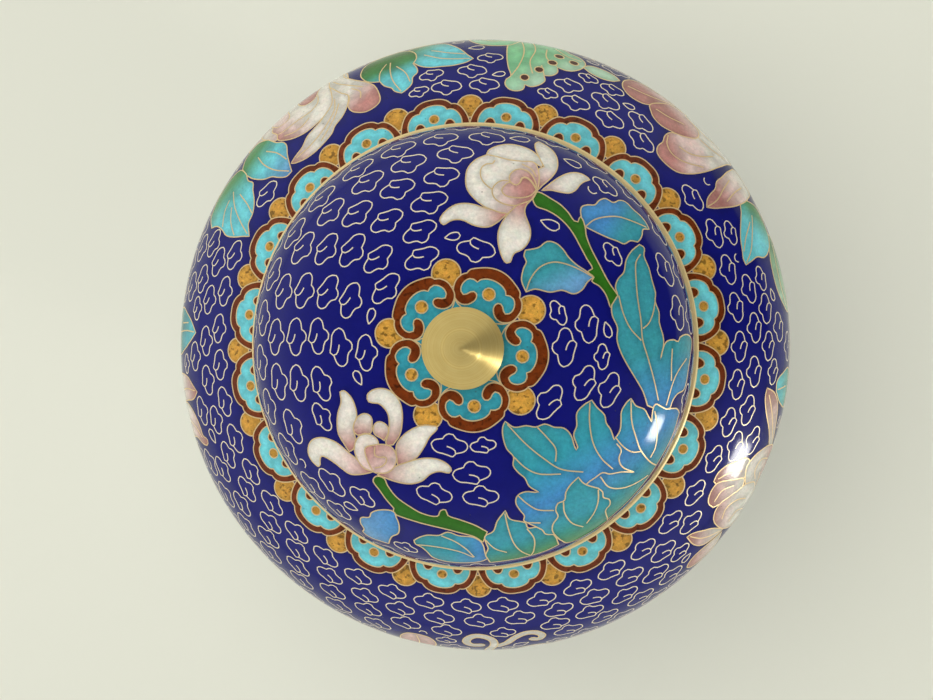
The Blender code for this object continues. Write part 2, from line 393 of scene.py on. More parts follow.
# What grows on the shoulder, round the jar from the right of the photograph
SHOULDER = [
    cell([(6.5, 37), (8, 33.4), (11, 31.4), (14.5, 31.2), (17.5, 32.2), (21, 35), (19, 39), (12, 40)],
         ((9, 32), (16, 40), WING_PALE, LEAF_GREEN), [[(7.5, 35.5), (11, 34), (15, 34.2), (19, 36)]]),
    cell([(16.8, 22.5, 1), (18.2, 22.3), (20, 22.9), (22, 23.6), (24, 24.9), (25.7, 26.4), (26.8, 27.5, 1),
          (28.3, 28.8), (28.7, 30.6), (28, 33), (26, 36), (22, 36), (19, 33.5), (17.6, 31, 1), (17.2, 29),
          (17.7, 26.8), (17.2, 24.4)], ((19, 24), (25, 34), TURQUOISE, TURQUOISE, LEAF_GREEN),
         [[(17.2, 22.9), (19.2, 25.4), (22, 27.8), (25.5, 31)], [(19.5, 23.2), (22, 25.4), (24.5, 29)]]),
    cell([(31, 18.9, 1), (32.4, 20.3), (33, 22), (33.4, 24), (34.4, 25.6), (34.6, 28), (34.9, 32), (34, 37),
          (30, 37), (28.6, 33), (28.3, 29), (28.6, 25.8), (29.3, 23), (30, 20.7)],
         ((30.5, 19), (32, 34), ROSE, ROSE, BLUSH, WHITE),
         [[(31, 19.2), (31.2, 22.5), (32.4, 26), (33.4, 30)], [(30, 25), (30.8, 29), (31, 33)]]),
    cell([(54.4, 28.2), (55.6, 27.2), (57.8, 26.8), (59.8, 27.6), (61, 29.4), (61, 32), (59, 35.5),
          (54, 37.5), (49, 37), (49, 32, 1)], ((58, 27), (53, 37), ROSE, ROSE, BLUSH),
         [[(60, 30), (56.5, 31), (53, 33.5), (51, 37)]]),
    cell([(44, 27.5), (47, 25.9), (49.9, 24.8), (52.2, 25.3), (53.6, 26.7), (54.4, 28.2), (53.4, 31),
          (51, 35), (46, 37.5), (43, 33, 1)], ((51, 25), (47, 35), ROSE, ROSE, BLUSH),
         [[(53, 28.3), (50, 29), (47, 31)]]),
    cell([(36, 38), (36.2, 33), (36.6, 29), (37.2, 25), (38.4, 21.3), (40.2, 18.6), (42, 17.6),
          (44.6, 17.3), (46.7, 17.8), (47.6, 19.2), (47.5, 21.2, 1), (48.1, 23.2), (47.6, 25.2),
          (45.2, 27.4), (43.5, 30.5), (44.5, 34), (48, 36), (47, 40), (40, 41)],
         ((46.5, 18), (40, 30), ROSE, ROSE, BLUSH, BLUSH, WHITE),
         [[(38.2, 25), (40.5, 22.4), (42.4, 21), (44.6, 20.6), (46.6, 21.6), (47.7, 23.8)],
          [(38.8, 30.5), (40.2, 26.8), (42.2, 24.4), (44.5, 23.6)], [(37.2, 34.5), (40.5, 31.8), (44, 31)],
          [(39.5, 38), (42.5, 35.2), (46.5, 35)]]),
    cell([(61.8, 30.4, 1), (63, 28.7), (65.2, 27.8), (67.5, 28.1), (69.4, 29.4, 1), (68, 31.2), (65, 31.8),
          (63, 31.4)],
         WING_PALE),
    cell([(82.6, 20.4), (83.4, 23), (84, 26), (84.4, 31), (84.2, 37), (83, 42), (77, 43), (74.6, 38),
          (72.8, 34.5, 1), (70.6, 33.4), (69.2, 31.4), (69.2, 29), (70.4, 26.8), (72, 25.9),
          (73.9, 26.1, 1), (73.5, 24.4), (74.4, 22.9), (75.9, 22.3, 1), (75.4, 20.8), (76.4, 19.1),
          (78, 18.2), (79.3, 18.5, 1), (79.4, 17.2), (80.6, 16.4), (82.3, 16.5), (83.5, 17.8),
          (83.4, 19.4)],
         ((73, 24), (82, 34), WING_PALE, WING_GREEN, WING_GREEN),
         [[(82.5, 20.6), (81.4, 24), (81, 29), (82, 36)], [(78.3, 22.2), (79.4, 26), (79, 31), (80, 37)],
          [(75.9, 22.5), (77, 25.5)], [(74, 26.4), (76.4, 28.6), (77, 33)],
          [(70, 31.6), (73, 32), (75.5, 35)]]),
    *[disc(x, y, 0.95, EYE_BROWN, 6)
      for x, y in ((79.7, 20.6), (77.2, 23.9), (75.1, 27.4), (71.2, 29.8), (74.3, 30.8))],
    cell([(83.6, 33), (86, 31.6), (89, 31.8), (91.2, 34), (91.8, 38), (89, 42), (85, 42.5), (82.5, 39)],
         ((84, 33), (91, 41), WING_GREEN, WING_PALE), [[(84.5, 37.5), (87, 35), (89.5, 36.5)]]),
    cell([(90.7, 25.7, 1), (92.2, 24.4), (94.8, 23.7), (97, 23.8), (99.4, 24.1), (101.6, 25.4), (103, 28),
          (104, 33), (101, 36.5), (97, 35), (95, 32.4), (93.2, 29.6), (92, 27.4)],
         ((93, 25), (101, 35), TURQUOISE, TURQUOISE, LEAF_GREEN),
         [[(91.4, 25.8), (94.5, 26), (97.5, 27), (100.5, 29.5)], [(92.4, 27.6), (95.8, 28.8), (99, 31)]]),
    cell([(106.3, 18.3, 1), (107.6, 19.4), (108.1, 20.7, 1), (109.5, 22.2), (110.1, 24, 1), (111.8, 25),
          (113, 26.6), (113.4, 30), (111, 35), (105.5, 36), (102.6, 32.5), (102, 29), (102.8, 26.8, 1),
          (102.2, 25), (102.2, 23.3), (103.3, 22.1), (103.7, 20.2), (105, 18.9)],
         ((105, 20), (107, 32), TURQUOISE, TURQUOISE, LEAF_GREEN, STEM_GREEN),
         [[(106.3, 18.8), (107.4, 22.4), (107.6, 26), (107.2, 30)],
          [(104, 21), (104.6, 24.2), (106.2, 27.6)], [(110.2, 24.2), (109.6, 27.2), (108, 30)]]),
    cell([(117.4, 23.2), (118.6, 20.8), (120.3, 19.1), (122.6, 17.9), (124, 16.6), (126.6, 15.7),
          (129.4, 15.3), (132.3, 15.7), (134.5, 16.8), (135.3, 17.7, 1), (133.4, 18.3), (131.1, 18.9),
          (128.9, 20.4), (126.6, 21.1), (124.3, 22), (122.6, 24.2), (121.2, 27), (120.6, 31), (121, 37),
          (117, 38), (116, 30)],
         ((135, 17), (120, 26), ROSE, WHITE, WHITE, WHITE),
         [[(133.6, 17.6), (130, 17.6), (126.6, 18.4), (123.6, 20), (121, 22.4), (120, 25.6)],
          [(127, 16.6), (124, 18.4), (121.6, 20.4), (119.6, 23.4)]]),
    cell([(111, 20.4), (111.3, 18.3), (112.6, 17.3), (114.8, 17), (116.6, 17.8), (117.9, 19.3),
          (118.1, 21.2), (117.3, 22.8), (117.2, 24.4), (118.4, 26.6), (119.4, 29.6), (120.2, 33),
          (120.5, 38), (117, 38), (116.6, 33), (115, 29), (112.9, 26, 1), (111.5, 23.6)],
         ((113.5, 18), (117.5, 28), ROSE, ROSE, BLUSH, WHITE, WHITE),
         [[(113.8, 24.8), (116, 27.4), (118, 30.6), (119, 34)], [(115, 21.6), (114.6, 23.6), (116, 26)]]),
    cell([(133, 27.2), (134.6, 27.2), (135.8, 29.6), (137, 28.8), (138.6, 28.7), (139.8, 30.6), (140, 34),
          (139, 39), (131, 40), (130, 34)], ((134, 28), (136, 38), BLUSH, WHITE, ROSE),
         [[(135.8, 29.8), (136.4, 34), (135.6, 38.5)]]),
    cell([(120.4, 38), (120, 32), (120.2, 27.6), (121, 24.6), (123.2, 22.7), (126, 21.8), (128.9, 21.9),
          (131.2, 22.9), (132.9, 24.5), (134.1, 26.7), (133.6, 28.6), (134, 32), (131, 38), (125, 40)],
         ((133, 24), (124, 28), ROSE, BLUSH, WHITE, WHITE),
         [[(126.4, 25.2), (128.4, 24.3), (130.6, 24.6), (132.6, 26)],
          [(122.7, 31.5), (123.4, 28.2), (125.5, 26.9), (128.8, 27.3), (131.8, 27.6), (133.6, 28.4)]]),
    cell([(122.7, 32.5), (124, 30.6), (126, 31.2), (126.9, 35), (126, 40), (122, 40)], ROSE),
    cell([(129.8, 30.8), (131.4, 30.6), (132.9, 32), (133.2, 38), (130, 39), (129.4, 35)], BLUSH),
    cell([(136.4, 15.9, 1), (138, 16), (139.4, 17.6), (140.3, 19.4), (141.9, 21), (143.2, 24),
          (143.6, 27, 1), (143, 31), (139, 34.5), (136, 31), (134.7, 26.5), (133.6, 24.6), (133.5, 22.8),
          (134.6, 20.5), (135.5, 18.2)],
         ((137, 17), (139, 30), LEAF_PALE, TURQUOISE, LEAF_GREEN),
         [[(136.8, 16.5), (138.8, 20), (139.6, 24), (139.4, 28)],
          [(135.4, 19.6), (136, 23.4), (137.4, 27)]]),
    cell([(154.1, 15.5, 1), (154.8, 17.4), (155.7, 19.6), (156.2, 22.3), (155.5, 24.8), (155.4, 27.3),
          (156.2, 29.4, 1), (154, 33), (149, 35), (144, 32), (143.4, 28), (144.2, 25.2), (143.9, 23.3),
          (145.1, 21.9), (146.2, 20.2), (147.6, 18.8), (149.4, 17.8), (151.6, 17.5), (153, 16.4)],
         ((152, 17), (147.5, 31), TURQUOISE, TURQUOISE, LEAF_GREEN),
         [[(153.8, 16.4), (152.2, 20), (150.2, 24.2), (147.8, 28)], [(149.3, 18), (148.2, 21), (147.4, 25)],
          [(155.4, 20), (153.2, 23), (150.6, 25.2)], [(155, 25), (152, 27), (149.6, 27.6)]]),
    cell([(177.3, 25.6, 1), (178.9, 27.7), (180.6, 31), (181.6, 36), (178, 41), (174, 39), (172.6, 34),
          (173.6, 30.6), (175.2, 27.7)], ((177, 26), (177, 38), TURQUOISE, LEAF_TEAL, LEAF_GREEN),
         [[(177.2, 26.4), (177, 30), (177.4, 36)], [(175.4, 29.4), (175.6, 33)]]),
    cell([(189.3, 26.6, 1), (190.5, 28.6), (190.6, 31.6), (190, 37), (186, 38), (185.4, 33.6),
          (186.2, 30.2), (187.8, 28.2)], ((189, 27), (188, 36), ROSE, BLUSH, WHITE),
         [[(189, 27.6), (188.4, 31), (188.4, 35)]]),
    cell([(199.2, 27.3), (200.1, 28.2), (199.6, 30), (198, 32.4), (197, 37), (192, 39), (191, 34),
          (192.4, 31), (194.6, 29.4), (196.6, 28.8), (198, 28.8)],
         ((199, 28), (194, 36), ROSE, BLUSH, WHITE), [[(198.4, 29.4), (196, 31.4), (194.4, 35)]]),
    cell([(258, 29.6), (260.6, 30.2), (261.8, 33), (261.2, 38), (259.6, 43), (256.6, 43), (255.2, 38),
          (254.9, 33), (256, 30.4)], ((258, 30), (258, 42), BLUSH, ROSE, WHITE),
         [[(258, 30.2), (258.6, 34), (258.2, 40)]]),
    disc(280.2, 37.6, 3.1, WHITE),
    ribbon([(273.4, 32.4), (275.4, 31), (277.3, 28.6), (279.5, 27.3), (281.7, 27.8), (282.6, 29.6),
            (281.8, 30.9), (280.6, 30.3)], 1.35, WHITE),
    ribbon([(272.9, 44), (271.7, 38.4), (272, 34.9), (273, 31.8), (273, 29.3), (271.8, 27.7), (269.8, 27.1),
            (268.2, 28.3), (267.8, 30.2), (268.9, 31.7), (270.6, 31.6)], 1.45, WHITE),
    cell([(351.4, 30.2, 1), (353.4, 30), (355, 32.4), (356, 36), (353, 40), (349, 38), (349.4, 33)],
         ((352, 31), (353, 39), TURQUOISE, LEAF_GREEN), [[(351.8, 30.8), (352.6, 35)]]),
    cell([(351.9, 26.5, 1), (351.2, 29.4), (349.4, 31.8), (345.6, 33.6), (341, 35.6, 1), (340.6, 34.2),
          (343.9, 31), (347, 28), (350, 26.4)], ((352, 27), (342, 35), ROSE, BLUSH, WHITE),
         [[(350.6, 27.6), (347, 30.4), (342.6, 34)]]),
    cell([(317.9, 23.7, 1), (319.2, 24.3), (320.9, 26.4), (322.4, 28.9), (323.4, 32.9, 1), (321.2, 32),
          (318.6, 30), (317.6, 27)], ((318, 25), (322, 31), ROSE, BLUSH, WHITE),
         [[(318.4, 24.4), (319.6, 28), (322.6, 32)]]),
    cell([(313.4, 32.8), (315.2, 30.9), (318.2, 31.2), (322.8, 33.4, 1), (320, 36), (316, 36)],
         ((314, 32), (322, 34), ROSE, WHITE)),
    cell([(330.5, 20.2, 1), (332.4, 20.1), (334.6, 21.3), (336.1, 23.4), (337.6, 26.4), (336, 29),
          (332, 27), (330, 23.4)], ((332, 20), (336, 28), ROSE, BLUSH, WHITE),
         [[(331.4, 21), (333.4, 23), (334.8, 26.4)]]),
    cell([(325.8, 24.3, 1), (326.1, 22.3), (328, 21.1), (330.4, 21.3), (331.6, 23), (332.8, 25.8),
          (333.4, 29), (329, 29), (327.2, 25.8)], ((327, 22), (332, 28), ROSE, BLUSH, WHITE),
         [[(327, 23.6), (329.6, 23.8), (331.6, 26.4)]]),
    cell([(332, 38), (332.4, 31), (334, 28.8), (336, 27.6), (338.4, 28.6), (340, 30.6), (341.2, 33.4),
          (341, 38), (337, 41)], ((335, 28), (338, 38), WHITE, WHITE, ROSE),
         [[(334.4, 33.5), (336, 31.4), (338.2, 32.2), (338.8, 36)], [(333.4, 37), (336, 34.6)]]),
    cell([(323.4, 28.1), (324.7, 26), (327, 25.5), (329.2, 27), (331, 28.6), (333, 30.6), (333.6, 35),
          (330, 39.5), (325.5, 38), (323.4, 33)], ((324, 26), (330, 34), ROSE, BLUSH, WHITE, WHITE),
         [[(324.8, 29.4), (327, 28.4), (329.4, 30.4), (330.4, 34)],
          [(325, 33), (327.4, 33.2), (328.4, 37)]]),
]


def body_drawing():
    """Everything that is drawn on the jar's body, from what lies lowest to what lies on top."""
    bottom = body_skin.length
    drawing = lappet_border(LAPPETS, LAPPET_TURN, 0, BALL_RADIUS, BALL_DOWN, turn=180)
    drawing += lappet_border(
        FOOT_LAPPETS, 0, bottom, FOOT_BALL_RADIUS, bottom - FOOT_BALL_UP, scale=1.02)
    drawing += [(item, on_shoulder) for item in SHOULDER]
    drawing += on_body(butterfly(WING_GREEN, OCHRE), 276, 0.0535, scale=0.85)
    drawing += on_body(simple_leaf(13, 7, LEAF_TEAL, LEAF_GREEN), 262, 0.047, turn=-25)
    drawing += on_body(simple_leaf(12, 6.5), 191, 0.043, turn=-60)
    drawing += on_body(simple_leaf(12, 6.5, LEAF_TEAL, LEAF_GREEN), 64, 0.042, turn=-80)

    # Sprays down the belly
    for i in range(6):
        angle, mirror = 60 * i + 30, bool(i % 2)
        tilt = 25 if mirror else -25
        for cells, scale in ((STEM, 1.0), (LEAF_OUT, 1.0), (LEAF_BACK, 0.95), (PEONY, 1.05)):
            drawing += on_body(
                cells, angle, 0.078, pivot=(14, 29), turn=tilt + 150, scale=scale, mirror=mirror)
        drawing += on_body(simple_leaf(22, 10, LEAF_TEAL, LEAF_GREEN), angle - 22, 0.098, turn=70)
        drawing += on_body(simple_leaf(19, 9, LEAF_BLUE, LEAF_TEAL), angle + 18, 0.108, turn=130)
        drawing += on_body(round_flower(6, 7), angle - 28, 0.108)
        drawing += on_body(simple_leaf(15, 8), angle - 24, 0.122, turn=-75)
        if mirror:
            drawing += on_body(butterfly(WING_GREEN, RED_BROWN), angle + 2, 0.125, scale=0.8, turn=20)
    return drawing


def on_chart(skin, drawing):
    """A drawing's outlines and wires as lines of the chart, with its paints set out in space."""
    laid = []
    for item, place in drawing:
        paint = item["paint"]
        if isinstance(paint, tuple):
            ends = skin.at(*place(np.array([paint[0], paint[1]], float)))
            paint = (ends[0], ends[1], np.array(paint[2:]))
        laid.append({
            "edge": None if item["edge"] is None else skin.flat(*place(item["edge"])),
            "lines": [skin.flat(*place(line)) for line in item["lines"]],
            "paint": paint,
        })
    return laid


def inside(points, outline):
    """Which points a closed outline goes round."""
    found = np.zeros(len(points), bool)
    low, high = outline.min(0), outline.max(0)
    near = np.flatnonzero(((points >= low) & (points <= high)).all(1))
    x, y = points[near, 0][:, None], points[near, 1][:, None]
    x1, y1 = outline[:, 0], outline[:, 1]
    x2, y2 = np.roll(x1, -1), np.roll(y1, -1)
    left = (x2 - x1) * (y - y1) - (x - x1) * (y2 - y1)
    turns = ((y1 <= y) & (y2 > y) & (left > 0)).sum(1) - ((y1 > y) & (y2 <= y) & (left < 0)).sum(1)
    found[near] = turns != 0
    return found


def grid(skin, spacing, last):
    """Points s, angle in staggered rows between two boundary rows, the first at 0."""
    rows = max(2, round(last / (spacing * 0.87)))
    found = []
    for row in range(1, rows):
        s = last * row / rows
        count = max(6, round(2 * math.pi * float(skin.radius(s)) / spacing))
        angles = (np.arange(count) + 0.5 * (row % 2)) * 2 * math.pi / count
        found.append(np.column_stack([np.full(count, s), angles]))
    return np.vstack(found)


def ring_angles():
    return np.arange(COLUMNS) * 2 * math.pi / COLUMNS


def cut_enamel(skin, laid, spacing, has_pole):
    """The skin as triangles, cut along every drawn line. Returns what the mesh and its wires need."""
    lines = []
    for number, item in enumerate(laid):
        if item["edge"] is not None:
            lines.append((np.vstack([item["edge"], item["edge"][:1]]), number, False))
        lines += [(line, number if item["edge"] is not None else -1, True) for line in item["lines"]]
    points, edges, owners = [], [], []
    total = 0
    for line, number, within in lines:
        points.append(line)
        edges += [(total + i, total + i + 1) for i in range(len(line) - 1)]
        owners += [(number, within)] * (len(line) - 1)
        total += len(line)
    drawn_points = np.vstack(points)

    near = kdtree.KDTree(len(drawn_points))
    for i, p in enumerate(skin.at(*skin.unflat(drawn_points))):
        near.insert(p, i)
    near.balance()
    filler = grid(skin, spacing, skin.length)
    clear = [near.find(p)[2] > 0.45 * spacing for p in skin.at(filler[:, 0], filler[:, 1])]
    filler = filler[np.array(clear)]
    points.append(skin.flat(filler[:, 0], filler[:, 1]))
    total += len(filler)
    rims = [skin.length] if has_pole else [0.0, skin.length]
    for s in rims:
        points.append(skin.flat(np.full(COLUMNS, s), ring_angles()))
        edges += [(total + i, total + (i + 1) % COLUMNS) for i in range(COLUMNS)]
        total += COLUMNS
    if has_pole:
        points.append(np.zeros((1, 2)))
    corners = [Vector(p) for p in np.vstack(points)]
    out = delaunay_2d_cdt(corners, edges, [], 0, 1e-5, True)
    chart = np.array([tuple(p) for p in out[0]])
    triangles = np.array([face[:] for face in out[2]])
    middle = chart[triangles].mean(1)
    if not has_pole:
        apothem = skin.chart[0] * math.cos(math.pi / COLUMNS)
        keep = np.hypot(middle[:, 0], middle[:, 1]) > apothem
        triangles, middle = triangles[keep], middle[keep]

    top = np.full(len(triangles), -1)
    for number, item in enumerate(laid):
        if item["edge"] is not None:
            top[inside(middle, item["edge"])] = number

    size = len(chart)
    sides = np.vstack([triangles[:, [0, 1]], triangles[:, [1, 2]], triangles[:, [2, 0]]])
    sides.sort(1)
    keys = sides[:, 0] * size + sides[:, 1]
    order = np.argsort(keys)
    keys, face_of = keys[order], np.tile(np.arange(len(triangles)), 3)[order]
    wires = []
    for edge, sources in zip(out[1], out[4]):
        a, b = sorted(edge)
        low, high = np.searchsorted(keys, [a * size + b, a * size + b + 1])
        tops = [top[face_of[i]] for i in range(low, high)]
        for source in sources:
            if source >= len(owners) or not tops:
                continue
            number, within = owners[source]
            if (all(t == number for t in tops) if within else any(t == number for t in tops)):
                wires.append((a, b))
                break
    return chart, triangles, top, wires


# How dark the painted shade makes the glass right beside a wire
PAINTED_WIRE_SHADE = 0.72


def paint_corners(skin, chart, triangles, top, laid, wires):
    """The colour of every corner of every triangle. Right beside a wire it is darkened: painted shade of the wire,
    and the glass's own darker edge.
    """
    places = skin.at(*skin.unflat(chart))
    colours = np.tile(COBALT, (len(triangles), 3, 1))
    for number, item in enumerate(laid):
        mine = np.flatnonzero(top == number)
        if not len(mine):
            continue
        paint = item["paint"]
        if isinstance(paint, tuple):
            start, end, stops = paint
            way = end - start
            share = np.clip((places[triangles[mine]] - start) @ way / (way @ way), 0, 1)
            steps = np.linspace(0, 1, len(stops))
            colours[mine] = np.stack([np.interp(share, steps, stops[:, c]) for c in range(4)], -1)
        else:
            colours[mine] = paint
    # Painted shade: every corner that lies on a wire is darkened
    painted_shade = np.ones(len(chart))
    painted_shade[np.unique(np.array(wires))] = PAINTED_WIRE_SHADE
    colours[..., :3] *= painted_shade[triangles][..., None]
    return places, colours


def turned_rows(profile):
    """Rings of points, one for each radius and height of a profile; a radius of 0 gives one point."""
    angles = ring_angles()
    rows = []
    for r, z in profile:
        if r == 0:
            rows.append(np.array([[0.0, 0.0, z]]))
        else:
            rows.append(np.column_stack([r * np.cos(angles), r * np.sin(angles), np.full(COLUMNS, z)]))
    return rows


def strip_faces(first, second):
    """Faces between two rings of vertex numbers, outward on the left of the way from first to second."""
    if len(first) == 1:
        return [(first[0], second[k], second[(k + 1) % COLUMNS]) for k in range(COLUMNS)]
    if len(second) == 1:
        return [(first[k], second[0], first[(k + 1) % COLUMNS]) for k in range(COLUMNS)]
    return [(first[k], second[k], second[(k + 1) % COLUMNS], first[(k + 1) % COLUMNS])
            for k in range(COLUMNS)]


def placed(name, data):
    """An object for a mesh, a light or a camera, put in the scene."""
    thing = bpy.data.objects.new(name, data)
    bpy.context.scene.collection.objects.link(thing)
    return thing


def enamel_piece(name, skin, drawing, spacing, before, after):
    """The whole glazed piece: the drawn face, and the plain rings before and after it.
    Each ring is (radius, height, colour), the colour being that of the strip that ends there."""
    laid = on_chart(skin, drawing)
    has_pole = not before
    chart, triangles, top, wires = cut_enamel(skin, laid, spacing, has_pole)
    places, colours = paint_corners(skin, chart, triangles, top, laid, wires)
    s, angles = skin.unflat(chart)
    corner_normals = skin.normals(s, angles)[triangles].reshape(-1, 3)

    def rim(reach):
        found = np.flatnonzero(abs(np.hypot(chart[:, 0], chart[:, 1]) - reach) < 1e-4 * reach)
        return found[np.argsort(np.round(angles[found], 5) % (2 * math.pi - 1e-4))]

    faces = [tuple(t) for t in triangles]
    total = len(chart)
    shades = [colours.reshape(-1, 4)]
    vertices = [places]

    def add_strips(rings, numbers):
        """Strips from ring to ring; numbers holds the first ring's vertices, where it is there already."""
        nonlocal total
        rows = turned_rows([(r, z) for r, z, _ in rings])
        for row, (_, _, colour) in zip(rows, rings):
            mine = np.arange(total, total + len(row))
            vertices.append(row)
            total += len(row)
            if numbers is not None:
                new = strip_faces(numbers, mine)
                faces.extend(new)
                shades.append(np.tile(colour, (sum(len(f) for f in new), 1)))
            numbers = mine
        return numbers

    if before:
        last = add_strips(before, None)
        joined = rim(skin.chart[0])
        new = strip_faces(last, joined)
        faces.extend(new)
        shades.append(np.tile(COBALT, (sum(len(f) for f in new), 1)))
    add_strips(after, rim(skin.chart[-1]))

    mesh = bpy.data.meshes.new(name)
    mesh.from_pydata(np.vstack(vertices).tolist(), [], [tuple(int(v) for v in f) for f in faces])
    mesh.shade_smooth()
    mesh.set_sharp_from_angle(angle=math.radians(40))
    attribute = mesh.attributes.new("glaze", "FLOAT_COLOR", "CORNER")
    attribute.data.foreach_set("color", np.vstack(shades).astype(np.float32).ravel())
    normals = np.zeros((len(mesh.loops), 3))
    normals[:len(corner_normals)] = corner_normals
    mesh.normals_split_custom_set(normals.tolist())
    piece = placed(name, mesh)

    wire_mesh = bpy.data.meshes.new(name + "_lines")
    used = sorted({v for wire in wires for v in wire})
    number = {v: i for i, v in enumerate(used)}
    wire_mesh.from_pydata(places[used].tolist(), [(number[a], number[b]) for a, b in wires], [])
    return piece, placed(name + "_lines", wire_mesh), laid


class Value:
    """A socket of a tree of nodes. Arithmetic on it adds Math nodes."""

    def __init__(self, tree, socket):
        self.tree, self.socket = tree, socket

    def math(self, operation, other, swapped=False):
        first, second = (other, self) if swapped else (self, other)
        return self.tree.add("ShaderNodeMath", {"operation": operation}, {0: first, 1: second})

    def __add__(self, other):
        return self.math("ADD", other)

    def __radd__(self, other):
        return self.math("ADD", other, True)

    def __sub__(self, other):
        return self.math("SUBTRACT", other)

    def __rsub__(self, other):
        return self.math("SUBTRACT", other, True)

    def __mul__(self, other):
        return self.math("MULTIPLY", other)

    def __truediv__(self, other):
        return self.math("DIVIDE", other)

    def __pow__(self, other):
        return self.math("POWER", other)

    def at_most(self, other):
        return self.math("MINIMUM", other)

    def at_least(self, other):
        return self.math("MAXIMUM", other)

    def out(self, name):
        """Another output of the same node."""
        return Value(self.tree, self.socket.node.outputs[name])


class Tree:
    """A tree of nodes, of a material, the world or a modifier."""

    def __init__(self, tree):
        self.tree = tree
        tree.nodes.clear()

    def add(self, kind, settings=None, inputs=None):
        """A node with its settings and the values or links of its sockets. Returns its first output in use."""
        node = self.tree.nodes.new(kind)
        for name, value in (settings or {}).items():
            setattr(node, name, value)
        for name, value in (inputs or {}).items():
            socket = node.inputs[name] if isinstance(name, int) else next(
                s for s in node.inputs if name in (s.identifier, s.name))
            if isinstance(value, Value):
                self.tree.links.new(value.socket, socket)
            else:
                socket.default_value = value
        outputs = [s for s in node.outputs if s.enabled] or [None]
        return Value(self, outputs[0])

    def noise(self, where, scale, detail=2.0, roughness=0.5):
        return self.add("ShaderNodeTexNoise", inputs={
            "Vector": where, "Scale": scale, "Detail": detail, "Roughness": roughness})

    def scaled(self, colour, factor):
        """A colour made lighter or darker by a factor that changes over the surface."""
        return self.add("ShaderNodeVectorMath", {"operation": "SCALE"}, {"Vector": colour, "Scale": factor})


def new_material(name):
    material = bpy.data.materials.new(name)
    material.use_nodes = True
    return material, Tree(material.node_tree)


def fired_enamel():
    """Glass over copper, coloured by the drawing: clouded, grainy where the glaze says so, and pitted."""
    material, tree = new_material("fired_enamel")
    where = tree.add("ShaderNodeTexCoord").out("Object")
    paint = tree.add("ShaderNodeAttribute", {"attribute_name": "glaze"})
    grainy = paint.out("Alpha")
    cloud = tree.noise(where, 240, 3)
    grain = tree.noise(where, 1500, 3, 0.7)
    tint = tree.add("ShaderNodeVectorMath", {"operation": "MULTIPLY_ADD"}, {
        0: tree.noise(where, 600, 3, 0.6).out("Color"), 1: (0.26, 0.16, 0.14), 2: (0.87, 0.92, 0.93)})
    pits = tree.add("ShaderNodeTexVoronoi", {"feature": "F1"}, {"Vector": where, "Scale": 330, "Randomness": 1.0})
    pit = ((0.075 - pits.out("Distance")) * 30).at_least(0).at_most(1)
    spot = ((tree.noise(where, 950, 2) - 0.56).at_least(0) * 22 * (grainy - 0.6).at_least(0)).at_most(0.6)
    lightness = (0.88 + cloud * 0.26) * (1 + (grain - 0.5) * grainy * 1.5) * (1 - pit * 0.45) * (1 - spot)
    tinted = tree.add("ShaderNodeVectorMath", {"operation": "MULTIPLY"}, {0: paint.out("Color"), 1: tint})
    colour = tree.scaled(tinted, lightness)
    swell = tree.noise(where, 75, 1)
    height = swell * 0.000045 + grain * grainy * 0.0000025 - pit * 0.00003
    bump = tree.add("ShaderNodeBump", inputs={"Strength": 1.0, "Distance": 1.0, "Height": height})
    shader = tree.add("ShaderNodeBsdfPrincipled", inputs={
        "Base Color": colour, "Roughness": 0.07 + cloud * 0.07 + pit * 0.3, "IOR": 1.55,
        "Specular IOR Level": 0.3, "Normal": bump})
    tree.add("ShaderNodeOutputMaterial", inputs={"Surface": shader})
    return material


def brass(name, colour, roughness, scratches, metal):
    """Brass. scratches is the depth of its fine wear, in metres."""
    material, tree = new_material(name)
    where = tree.add("ShaderNodeTexCoord").out("Object")
    tarnish = tree.noise(where, 420, 3, 0.6)
    fine = tree.noise(where, 3600, 2, 0.6)
    bump = tree.add("ShaderNodeBump", inputs={"Strength": 1.0, "Distance": 1.0, "Height": fine * scratches})
    shader = tree.add("ShaderNodeBsdfPrincipled", inputs={
        "Base Color": tree.scaled(colour, 1.05 - tarnish * 0.28), "Metallic": metal,
        "Roughness": roughness + (tarnish - 0.5) * 0.12, "Normal": bump})
    tree.add("ShaderNodeOutputMaterial", inputs={"Surface": shader})
    return material


ENAMEL = fired_enamel()
DRAWN_BRASS = brass("drawn_wire_brass", (0.88, 0.66, 0.34), 0.38, 0.0000008, 0.55)
CLOUD_BRASS = brass("cloud_wire_brass", (1.0, 0.88, 0.64), 0.4, 0.0000008, 0.45)
RING_BRASS = brass("ring_brass", (1.0, 0.78, 0.38), 0.38, 0.000001, 0.45)


def tree_for_modifier(name, sockets):
    """A geometry tree with named inputs. Returns it, its inputs by name and the tree of nodes to add to."""
    group = bpy.data.node_groups.new(name, "GeometryNodeTree")
    group.interface.new_socket("Geometry", in_out="INPUT", socket_type="NodeSocketGeometry")
    for socket, kind in sockets.items():
        group.interface.new_socket(socket, in_out="INPUT", socket_type="NodeSocket" + kind)
    group.interface.new_socket("Geometry", in_out="OUTPUT", socket_type="NodeSocketGeometry")
    tree = Tree(group)
    given = tree.add("NodeGroupInput")
    return group, given, tree


WIRE_SOCKETS = {"Enamel": "Object", "Width": "Float", "Proud": "Float", "Sunk": "Float", "Brass": "Material"}


